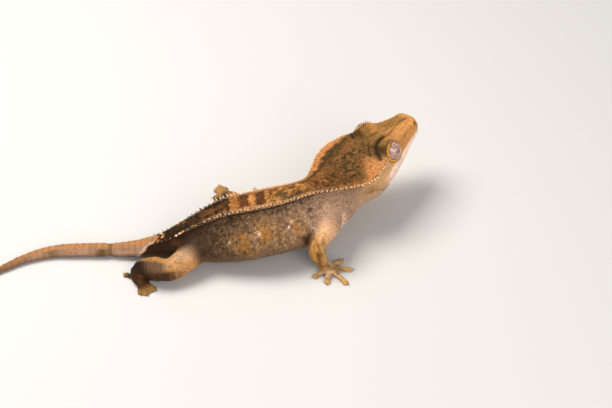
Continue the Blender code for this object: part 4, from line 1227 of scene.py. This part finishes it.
def eye_ball(side):
    """A ball with its poles on the way it looks, and each point's place on it kept for the iris."""
    middle, look, front, top = eye_frame(side)
    mesh = bmesh.new()
    bmesh.ops.create_uvsphere(mesh, u_segments=EYE_RINGS, v_segments=EYE_STEPS, radius=1.0)
    local = np.array([vert.co for vert in mesh.verts])
    data = bpy.data.meshes.new("eye")
    mesh.to_mesh(data)
    mesh.free()
    cornea = EYE_RADIUS * (1 + CORNEA_PROUD * rise(0.75, 1.0, local[:, 2]))
    points = middle + cornea[:, None] * (local @ np.array([front, top, look]))
    write_points(data, to_frame(points))
    store(data, "iris", "FLOAT_VECTOR", local)
    if np.dot(np.cross(front, top), look) < 0:
        data.flip_normals()
    data.shade_smooth()
    return data


def eye_glass():
    """Marbled iris under a wet surface: pale mauve with dark veins, a dark rim and an upright slit."""
    finish = Finish("eye_glass", {"Roughness": 0.12, "Coat Weight": 1.0, "Coat Roughness": 0.03})
    tree = finish.tree
    place = tree.kept("iris", "Vector")
    parts = tree.node("ShaderNodeSeparateXYZ", {}, {0: place}).socket.node.outputs
    front, top = Flow(tree, parts[0]), Flow(tree, parts[1])
    radius = (front * front + top * top) ** 0.5
    marble = tree.node(
        "ShaderNodeTexNoise", {}, {"Vector": place, "Scale": 5.5, "Detail": 5.0, "Distortion": 1.6}
    )
    veins = tree.node(
        "ShaderNodeTexNoise", {}, {"Vector": place, "Scale": 9.0, "Detail": 4.0, "Distortion": 2.6}
    )
    iris = tree.node("ShaderNodeValToRGB", {}, {0: marble}, output="Color")
    for stop, (at, tint) in zip(iris.socket.node.color_ramp.elements, IRIS_TINTS):
        stop.position, stop.color = at, (*linear(tint), 1)
    vein = 1.0 - abs(veins - 0.5).clear_of(0.0, 0.045)
    edge = radius.clear_of(0.8, 0.9)
    wave = tree.node("ShaderNodeTexNoise", {"noise_dimensions": "1D"}, {"W": top * 7.0, "Detail": 1.0})
    width = (1.0 - (top * top) * 2.4) * (wave * 0.09 + 0.01)
    pupil = 1.0 - (abs(front) - width).clear_of(-0.012, 0.012)
    shaded = (front - 0.35).clear_of(0.0, 0.5) * 0.6
    dark = (vein * 0.7).larger(edge * 0.9).larger(shaded).larger(pupil)
    finish.feed("Base Color", tree.mixed(dark, iris, (*linear(PUPIL_TINT), 1)))
    return finish.material


eye_material = eye_glass()
for side, name in zip(SIDES, ("eye_right", "eye_left")):
    eye = new_object("eyeball_" + name[4:], eye_ball(side))
    eye.data.materials.append(eye_material)
    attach(eye, "root")
    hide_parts(name)

# The scales: fine round granules that nearly touch, a few tenths of a millimetre across, over all of the
# skin. They are horn, and in the model they are cast with the skin. Each takes the skin's colour at its root.
# A patch's numbers are the scales' spacing, width and height, and how dark and how light single ones are.
PATCHES = {
    "head": (0.35, 0.26, 0.14, 0.72, 1.3), "trunk_back": (0.36, 0.27, 0.15, 0.5, 1.6),
    "trunk_flank": (0.37, 0.28, 0.12, 0.45, 1.65), "limb": (0.36, 0.25, 0.08, 0.7, 1.35),
    "tail": (0.37, 0.26, 0.09, 0.78, 1.2),
}
FIRST_SEED = 3
PER_SPACING = 2.2
BAKE_PATCH = 0.0015


def patch_numbers(survey):
    """Which patch of scales each point belongs to."""
    head, back, flank, limb, tail = range(len(PATCHES))
    numbers = np.where(survey.corner < 3.6, back, flank)
    numbers = np.where(survey.station < 30, head, numbers)
    numbers = np.where(survey.station > 80, tail, numbers)
    return np.where(survey.limb > 0.5, limb, numbers)


def store_by_face(mesh, name, values):
    """Keeps for each face the value of its first corner."""
    starts = np.empty(len(mesh.polygons), int)
    mesh.polygons.foreach_get("loop_start", starts)
    corners = np.empty(len(mesh.loops), int)
    mesh.loops.foreach_get("vertex_index", corners)
    store(mesh, name, "FLOAT", values[corners[starts]], "FACE")


def bead_sizes(survey):
    """How big the scales are at each point: large on crown and back, small round eyes, lips and toes."""
    sizes = 0.8 + 0.3 * rise(3.4, 2.2, survey.corner) * rise(88, 80, survey.station)
    sizes = sizes * (1 - 0.3 * rise(1.5, 0.5, survey.palm_gap - 3) * survey.limb)
    sizes = sizes * (1 - 0.35 * rise(5, 1, survey.station))
    for side, nostril in zip(SIDES, NOSTRILS):
        eye, look, _, _ = eye_frame(side)
        away = survey.points - eye
        outward = away @ look
        sizes = sizes * (1 - 0.45 * rise(4.6, 3.6, np.linalg.norm(away, axis=1)) * rise(0.5, 1.2, outward))
        inside = np.linalg.norm(away - outward[:, None] * look, axis=1)
        sizes = np.where((inside < 2.8) & (outward > 0.5), 0, sizes)
        sizes = np.where(gap_to(survey.points, nostril) < 0.5, 0, sizes)
    return sizes


def new_node_group(name, inputs):
    """An empty node group for a modifier, with named inputs, and its tree and the flow of each input."""
    group = bpy.data.node_groups.new(name, "GeometryNodeTree")
    group.interface.new_socket("Geometry", in_out="INPUT", socket_type="NodeSocketGeometry")
    for label, kind in inputs.items():
        group.interface.new_socket(label, in_out="INPUT", socket_type="NodeSocket" + kind)
    group.interface.new_socket("Geometry", in_out="OUTPUT", socket_type="NodeSocketGeometry")
    tree = Tree(group)
    given = tree.node("NodeGroupInput").socket.node
    return group, tree, {socket.name: Flow(tree, socket) for socket in given.outputs if socket.name}


def named(tree, name, kind="FLOAT"):
    """A value kept on the mesh, for a modifier."""
    return tree.node("GeometryNodeInputNamedAttribute", {"data_type": kind}, {"Name": name})


def keeping(tree, geometry, name, value, kind="FLOAT", domain="POINT"):
    """A geometry with a value kept on it under a name."""
    return tree.node(
        "GeometryNodeStoreNamedAttribute", {"data_type": kind, "domain": domain},
        {"Geometry": geometry, "Name": name, "Value": value},
    )


def with_local(tree, shape):
    """Keeps each point's place on the shape that is repeated."""
    return keeping(tree, shape, "local", tree.node("GeometryNodeInputPosition"), "FLOAT_VECTOR")


def finish_group(tree, instances, material):
    """Makes the instances real, lays each on a small patch of the skin's unwrap and sets the material."""
    real = tree.node("GeometryNodeRealizeInstances", {}, {"Geometry": instances})
    sockets = {"Vector": named(tree, "local", "FLOAT_VECTOR"), "Scale": BAKE_PATCH}
    scaled = tree.node("ShaderNodeVectorMath", {"operation": "SCALE"}, sockets)
    spot = named(tree, "spot", "FLOAT_VECTOR")
    place = tree.node("ShaderNodeVectorMath", {"operation": "ADD"}, {0: spot, 1: scaled})
    mapped = keeping(tree, real, "OFBake", place, "FLOAT2", "CORNER")
    smooth = tree.node("GeometryNodeSetShadeSmooth", {}, {"Geometry": mapped})
    coated = tree.node("GeometryNodeSetMaterial", {}, {"Geometry": smooth, "Material": material})
    tree.node("NodeGroupOutput", {}, {"Geometry": coated})


def grown(name, source, group, values):
    """Runs a node group on a mesh, with its inputs set, and returns the result as a plain object."""
    carrier = new_object(name, source)
    modifier = carrier.modifiers.new("grow", "NODES")
    modifier.node_group = group
    for socket in group.interface.items_tree:
        if socket.in_out == "INPUT" and socket.name in values:
            modifier[socket.identifier] = values[socket.name]
    graph = bpy.context.evaluated_depsgraph_get()
    made = bpy.data.meshes.new_from_object(carrier.evaluated_get(graph))
    carrier.modifiers.remove(modifier)
    carrier.data = made
    made.name = name
    for spare in ("local", "spot", "turn", "size"):
        if spare in made.attributes:
            made.attributes.remove(made.attributes[spare])
    return carrier


def scale_finish(name, roughness, shift):
    """The markings' colour, lighter or darker from scale to scale."""
    finish = Finish(name, {"Roughness": roughness, "Specular IOR Level": 0.12})
    tree = finish.tree
    shade = tree.kept("tint", "Fac") + shift
    finish.feed("Base Color", tree.shaded(tree.kept("markings", "Color"), shade))
    return finish.material


def bead_group(material):
    """Granules strewn evenly over one patch of the skin."""
    group, tree, given = new_node_group("granules", {
        "Patch": "Float", "Spacing": "Float", "Width": "Float", "Height": "Float", "Darkest": "Float",
        "Lightest": "Float", "Seed": "Int",
    })
    more = {"data_type": "FLOAT", "operation": "GREATER_THAN"}
    other = tree.node("FunctionNodeCompare", more, {0: abs(named(tree, "patch") - given["Patch"]), 1: 0.5})
    sockets = {"Geometry": given["Geometry"], "Selection": other}
    patch = tree.node("GeometryNodeDeleteGeometry", {"domain": "FACE"}, sockets)
    strewn = tree.node(
        "GeometryNodeDistributePointsOnFaces", {"distribute_method": "POISSON"},
        {
            "Mesh": patch, "Distance Min": given["Spacing"],
            "Density Max": PER_SPACING / (given["Spacing"] ** 2), "Seed": given["Seed"],
        },
    )
    turn = Flow(tree, strewn.socket.node.outputs["Rotation"])
    size = named(tree, "bead")
    vary = tree.node("FunctionNodeRandomValue", {"data_type": "FLOAT"}, {"Min": 0.8, "Max": 1.15, "Seed": 3})
    wide, high = size * vary * given["Width"], size * vary * given["Height"]
    tint = tree.node(
        "FunctionNodeRandomValue", {"data_type": "FLOAT"},
        {"Min": given["Darkest"], "Max": given["Lightest"], "Seed": 5},
    )
    instances = tree.node("GeometryNodeInstanceOnPoints", {}, {
        "Points": keeping(tree, strewn, "tint", tint),
        "Selection": tree.node("FunctionNodeCompare", more, {0: size, 1: 0.3}),
        "Instance": with_local(
            tree, tree.node("GeometryNodeMeshIcoSphere", {}, {"Radius": 1.0, "Subdivisions": 1})
        ),
        "Rotation": turn,
        "Scale": tree.node("ShaderNodeCombineXYZ", {}, {0: wide, 1: wide, 2: high}),
    })
    finish_group(tree, instances, material)
    return group


store_by_face(skin.data, "patch", patch_numbers(skin_survey).astype(float))
store(skin.data, "bead", "FLOAT", bead_sizes(skin_survey))
bead_tree = bead_group(scale_finish("gecko_scales", 0.5, 0.03))
for number, (name, (spacing, width, height, darkest, lightest)) in enumerate(PATCHES.items()):
    beads = grown("scales_" + name, skin.data, bead_tree, {
        "Patch": float(number), "Spacing": spacing * UNIT, "Width": width * UNIT,
        "Height": height * UNIT, "Darkest": darkest, "Lightest": lightest, "Seed": number + FIRST_SEED,
    })
    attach(beads, "root")

# The crest: two rows of soft pointed scales from over the ear to the hips, cream at their tips, with smaller
# scales beside them, and lashes over the eyes. They are cast of softer resin and set in one by one.
SPINE_STEP, SPINE_STEP_BEHIND = 1.02, 1.35
SPINE_START, SPINE_END = 16.0, 83.0
SPINE_THICK, SPINE_SIDES, SPINE_TIP = 0.33, 7, 0.15
SPINE_TINT = (0.94, 0.80, 0.64)
SMALL_ROWS = ((-0.24, 0.55), (0.22, 0.45), (-0.46, 0.4))
SMALL_START, SMALL_END, SMALL_STEP = 17, 74, 0.62
LASHES = 17


def crest_row(side, stations, rng):
    """The tall spines of one side's crest: the root, way, size and tip shade of each."""
    rows = []
    for station in stations:
        at = station + rng.uniform(-0.15, 0.15)
        root, out = trunk_point(at, CREST_CORNER + rng.uniform(-0.06, 0.06), side)
        fade = float(rise(15, 21, at) * (0.25 + 0.75 * rise(73, 66, at)))
        length = (1.0 + 0.35 * float(bump_at(at, 25, 7))) * fade * rng.uniform(0.8, 1.15)
        length = length * (1 if side < 0 or at > 36 else 0.75)
        lean = 0.55 * float(bump_at(at, 24, 7)) * trunk_frame(at)[2] * side
        way = unit(out + lean - 0.38 * forward_at(at) + rng.normal(0, 0.1, 3))
        thick = SPINE_THICK * (0.55 + 0.45 * fade)
        rows.append((root, way, (thick, thick, length), 1.0 if at < 68 else rng.uniform(0, 1) ** 2))
    return rows


def small_row(side, offset, much, rng):
    """One row of small pointed scales along the crest."""
    rows = []
    for station in np.arange(SMALL_START, SMALL_END, SMALL_STEP):
        at = station + rng.uniform(-0.2, 0.2)
        root, out = trunk_point(at, CREST_CORNER + offset + rng.uniform(-0.04, 0.04), side)
        fade = float(rise(16, 22, at) * (0.4 + 0.6 * rise(70, 60, at)))
        way = unit(out - 0.5 * forward_at(at) + rng.normal(0, 0.15, 3))
        thick = 0.21 * (0.6 + 0.4 * fade)
        rows.append((root, way, (thick, thick, 0.95 * much * fade * rng.uniform(0.7, 1.2)), 0.45))
    return rows


def lash_row(side, rng):
    """The lashes on the rim of one eye's lids."""
    rows = []
    middle, look, front, top = eye_frame(side)
    for turn in np.linspace(-0.25, math.pi + 0.2, LASHES):
        away = math.cos(turn) * front + math.sin(turn) * top
        root = middle + look * (LID_OUT + 0.15) + away * (LID_RADIUS + 0.25)
        way = unit(away * 0.9 + look * 0.45 + rng.normal(0, 0.12, 3))
        length = (0.3 + 0.55 * math.sin(max(turn, 0)) ** 4) * rng.uniform(0.7, 1.1)
        rows.append((root, way, (0.15, 0.15, length), 0.25))
    return rows


def spine_rows(rng):
    """The roots, ways, sizes and tip shades of every spine, small scale and lash."""
    stations = [SPINE_START]
    while stations[-1] < SPINE_END:
        step = SPINE_STEP / float(curve(STRETCH, stations[-1]))
        stations.append(stations[-1] + step * (1 if stations[-1] < 64 else SPINE_STEP_BEHIND))
    rows = []
    for side in SIDES:
        rows += crest_row(side, stations, rng)
        for offset, much in SMALL_ROWS:
            rows += small_row(side, offset, much, rng)
    for side in SIDES:
        rows += lash_row(side, rng)
    return [np.array(column) for column in zip(*rows)]


def turned_to(ways):
    """Euler turns that take the upright axis to each way."""
    return np.array([Vector(way).to_track_quat("Z", "Y").to_euler()[:] for way in ways])


def root_mesh(name, survey, colours, turns, sizes, tips):
    """Points that carry what grows on them."""
    data = bpy.data.meshes.new(name)
    data.from_pydata(to_frame(survey.points).tolist(), [], [])
    store(data, "markings", "FLOAT_COLOR", with_alpha(colours))
    store(data, "spot", "FLOAT_VECTOR", np.pad(unwrapped(survey), ((0, 0), (0, 1))))
    store(data, "turn", "FLOAT_VECTOR", turns)
    store(data, "size", "FLOAT_VECTOR", sizes * UNIT)
    store(data, "tip", "FLOAT", tips)
    return data


def rooted(tree, points, shape):
    """One shape on each root point, turned and sized as the point says."""
    turned = tree.node("FunctionNodeEulerToRotation", {}, {0: named(tree, "turn", "FLOAT_VECTOR")})
    size = named(tree, "size", "FLOAT_VECTOR")
    sockets = {"Points": points, "Instance": with_local(tree, shape), "Rotation": turned, "Scale": size}
    return tree.node("GeometryNodeInstanceOnPoints", {}, sockets)


def spine_finish():
    """The markings at the root, paler towards the tip."""
    finish = Finish("crest_spines", {"Roughness": 0.45})
    tree = finish.tree
    share = tree.kept("along", "Fac").clear_of(-0.05, 0.55) * tree.kept("tip", "Fac")
    finish.feed("Base Color", tree.mixed(share, tree.kept("markings", "Color"), (*linear(SPINE_TINT), 1)))
    return finish.material


def spine_group(material):
    """A tapered spine at each root."""
    group, tree, given = new_node_group("spines", {"Sides": "Int", "Tip": "Float"})
    cone = tree.node("GeometryNodeMeshCone", {"fill_type": "TRIANGLE_FAN"}, {
        "Vertices": given["Sides"], "Side Segments": 4, "Radius Top": given["Tip"], "Radius Bottom": 1.0,
        "Depth": 1.2,
    })
    lifted = tree.node("GeometryNodeTransform", {}, {"Geometry": cone, "Translation": (0.0, 0.0, -0.2)})
    height = tree.node("ShaderNodeSeparateXYZ", {}, {0: tree.node("GeometryNodeInputPosition")}, output=2)
    spine = keeping(tree, lifted, "along", height)
    finish_group(tree, rooted(tree, given["Geometry"], spine), material)
    return group


roots, ways, sizes, tips = spine_rows(np.random.default_rng(7))
spine_survey = Survey(roots)
spine_source = root_mesh("spines", spine_survey, markings(spine_survey), turned_to(ways), sizes, tips)
spine_tree = spine_group(spine_finish())
spines = grown("crest_spines", spine_source, spine_tree, {"Sides": SPINE_SIDES, "Tip": SPINE_TIP})
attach(spines, "root")

# Single larger scales: a row of smooth plates along each lip, and pale, raised tubercles on rump and flanks.
# They are cast with the skin, and painted paler than the scales round them.
LIP_ROWS = ((-0.33, 1.6), (0.3, 2.4))
LIP_END, LIP_STEP = 17, 0.95
LIP_SUNK, TUBERCLE_SUNK = 0.15, 0.1
PLATE_RINGS = 6
TUBERCLES = (
    (75.6, 1.85, -1), (75.0, 1.95, -1), (74.4, 1.75, -1), (76.6, 2.0, -1), (81.6, 1.15, 1),
    (81.9, 0.95, 1), (81.4, 0.8, 1), (80.9, 0.4, -1), (81.3, 0.55, -1), (76.4, 2.0, 1), (75.9, 2.0, 1),
    (78.0, 2.0, 1), (54.2, 4.0, -1), (54.5, 3.85, -1), (45.5, 3.86, -1), (46.7, 4.1, -1), (62.5, 4.2, -1),
    (54.2, 4.0, 1), (46.0, 3.9, 1), (62.5, 4.2, 1),
)


def plate_turn(out, ahead):
    """The Euler turn that stands a plate on the skin, with its length ahead."""
    along = unit(ahead - out * np.dot(ahead, out))
    return Matrix(np.array([along, np.cross(out, along), out]).T.tolist()).to_euler()[:]


def plate_rows():
    """The roots, turns and sizes of the single scales, and which are tubercles."""
    rows = []
    for side in SIDES:
        for offset, start in LIP_ROWS:
            for station in np.arange(start, LIP_END, LIP_STEP):
                root, out = trunk_point(station, min(float(curve(MOUTH, station)) + offset, 6.9), side)
                small = 0.75 + 0.25 * float(rise(17, 10, station))
                size = (0.5 * small, 0.36 * small, 0.2)
                rows.append((root - LIP_SUNK * out, plate_turn(out, forward_at(0)), size, False))
    for station, corner, side in TUBERCLES:
        root, out = trunk_point(station, corner, side)
        wide = 0.34 if station > 70 else 0.3
        rows.append((root - TUBERCLE_SUNK * out, plate_turn(out, forward_at(60)), (wide, wide, 0.24), True))
    return [np.array(column) for column in zip(*rows)]


def plate_group(material):
    """A low dome at each root."""
    group, tree, given = new_node_group("plates", {"Rings": "Int"})
    dome = tree.node("GeometryNodeMeshUVSphere", {}, {"Segments": 10, "Rings": given["Rings"], "Radius": 1.0})
    finish_group(tree, rooted(tree, given["Geometry"], dome), material)
    return group


roots, turns, sizes, raised = plate_rows()
plate_survey = Survey(roots)
plate_colours = markings(plate_survey)
for number in np.flatnonzero(raised):
    plate_colours[number] = linear(TINTS["cream" if number % 3 else "chest"]) * 1.1
plate_source = root_mesh("plates", plate_survey, plate_colours, turns, sizes, np.ones(len(roots)))
store(plate_source, "tint", "FLOAT", np.random.default_rng(2).uniform(0.92, 1.05, len(roots)))
plate_tree = plate_group(scale_finish("gecko_plates", 0.4, 0.0))
plates = grown("plates_lip_rump", plate_source, plate_tree, {"Rings": PLATE_RINGS})
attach(plates, "root")

# The claws: one small, dark, hooked claw over the end of every toe pad, of horn. In the model they are cast
# in darker resin and glued into the toes.
CLAW_LENGTH, CLAW_ROOT, CLAW_HEIGHT = 0.8, 0.14, 0.62
CLAW_SET_IN, CLAW_DROP, CLAW_TAPER = 0.35, 0.42, 0.85
CLAW_RINGS, CLAW_SIDES = 6, 8


def claw_rings(tip, palm):
    """Rings along one claw, from inside the toe's end forward and down to its point."""
    ahead = unit(np.array([tip[0] - palm[0], tip[1] - palm[1], 0]))
    across, up = np.array([-ahead[1], ahead[0], 0]), np.array([0, 0, 1])
    rings = []
    for share in np.linspace(0, 1, CLAW_RINGS):
        middle = np.array([*tip, CLAW_HEIGHT]) + ahead * (CLAW_LENGTH * share - CLAW_SET_IN)
        wide = CLAW_ROOT * (1 - CLAW_TAPER * share)
        rings.append(middle - up * CLAW_DROP * share**2 + oval(CLAW_SIDES, 0.8 * wide, across, wide, up))
    return rings


claw_mesh = bmesh.new()
for joints, tips in zip(LIMBS, TOE_TIPS):
    for tip in tips:
        add_loft(claw_mesh, claw_rings(tip, joints[PALM][0]))
claw_data = bpy.data.meshes.new("claws")
claw_mesh.to_mesh(claw_data)
claw_mesh.free()
write_points(claw_data, to_frame(read_points(claw_data)))
claw_data.shade_smooth()
claws = new_object("claws", claw_data)
claw_finish = Finish("claw_horn", {"Base Color": (*linear((0.40, 0.29, 0.18)), 1), "Roughness": 0.35})
claws.data.materials.append(claw_finish.material)
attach(claws, "root")

# The studio: a plain pale floor, wide enough to fill the picture, and plain soft light, as from a large
# window on the left and from the sky above.
FLOOR_REACH = 2
SKY_STRENGTH = 0.36
plane = bpy.data.meshes.new("floor")
floor_corners = [(x * FLOOR_REACH, y * FLOOR_REACH, 0) for x, y in ((-1, -1), (1, -1), (1, 1), (-1, 1))]
plane.from_pydata(floor_corners, [], [(0, 1, 2, 3)])
floor = new_object("floor", plane)
plane.materials.append(Finish("floor", {"Base Color": (0.62, 0.60, 0.57, 1), "Roughness": 0.8}).material)
floor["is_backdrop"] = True

world = bpy.data.worlds.new("studio")
world.use_nodes = True
world.node_tree.nodes["Background"].inputs["Color"].default_value = (0.97, 0.98, 1.0, 1)
world.node_tree.nodes["Background"].inputs["Strength"].default_value = SKY_STRENGTH
bpy.context.scene.world = world


def add_light(name, place, power, size, colour):
    """A square soft light that looks at the middle of the floor."""
    data = bpy.data.lights.new(name, "AREA")
    data.energy, data.size, data.color = power, size, colour
    made = new_object(name, data)
    made.location = place
    made.rotation_euler = Vector(place).to_track_quat("Z", "Y").to_euler()
    made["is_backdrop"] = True


add_light("key", (-0.25, 0.12, 0.55), 4.7, 0.35, (1.0, 0.98, 0.95))
add_light("fill", (0.3, -0.55, 0.4), 2.8, 0.5, (1.0, 0.99, 0.97))

# The camera: it stands where the photo was taken from and keeps its framing, with the tail's end outside it.
# Its lens is known from the photo as so many of the picture's own dots.
CAMERA_TILT = math.radians(43)
CAMERA_AWAY = 330
LENS_DOTS, PHOTO_DOTS, SENSOR_WIDTH = 1100, 612, 36
toward = np.array((0, -math.cos(CAMERA_TILT), math.sin(CAMERA_TILT)))
camera_data = bpy.data.cameras.new("camera")
camera_data.sensor_width = SENSOR_WIDTH
camera_data.lens = LENS_DOTS / PHOTO_DOTS * SENSOR_WIDTH
camera_data.clip_start = 0.01
camera = new_object("camera", camera_data)
camera.location = to_frame(toward * CAMERA_AWAY)
camera.rotation_euler = Vector(toward).to_track_quat("Z", "Y").to_euler()
bpy.context.scene.camera = camera
bpy.context.scene.view_settings.view_transform = "Standard"

low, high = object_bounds()
sizes = {
    "cad": [[float(x) for x in cad_low], [float(x) for x in cad_high]],
    "scene": [[float(x) for x in low], [float(x) for x in high]],
}
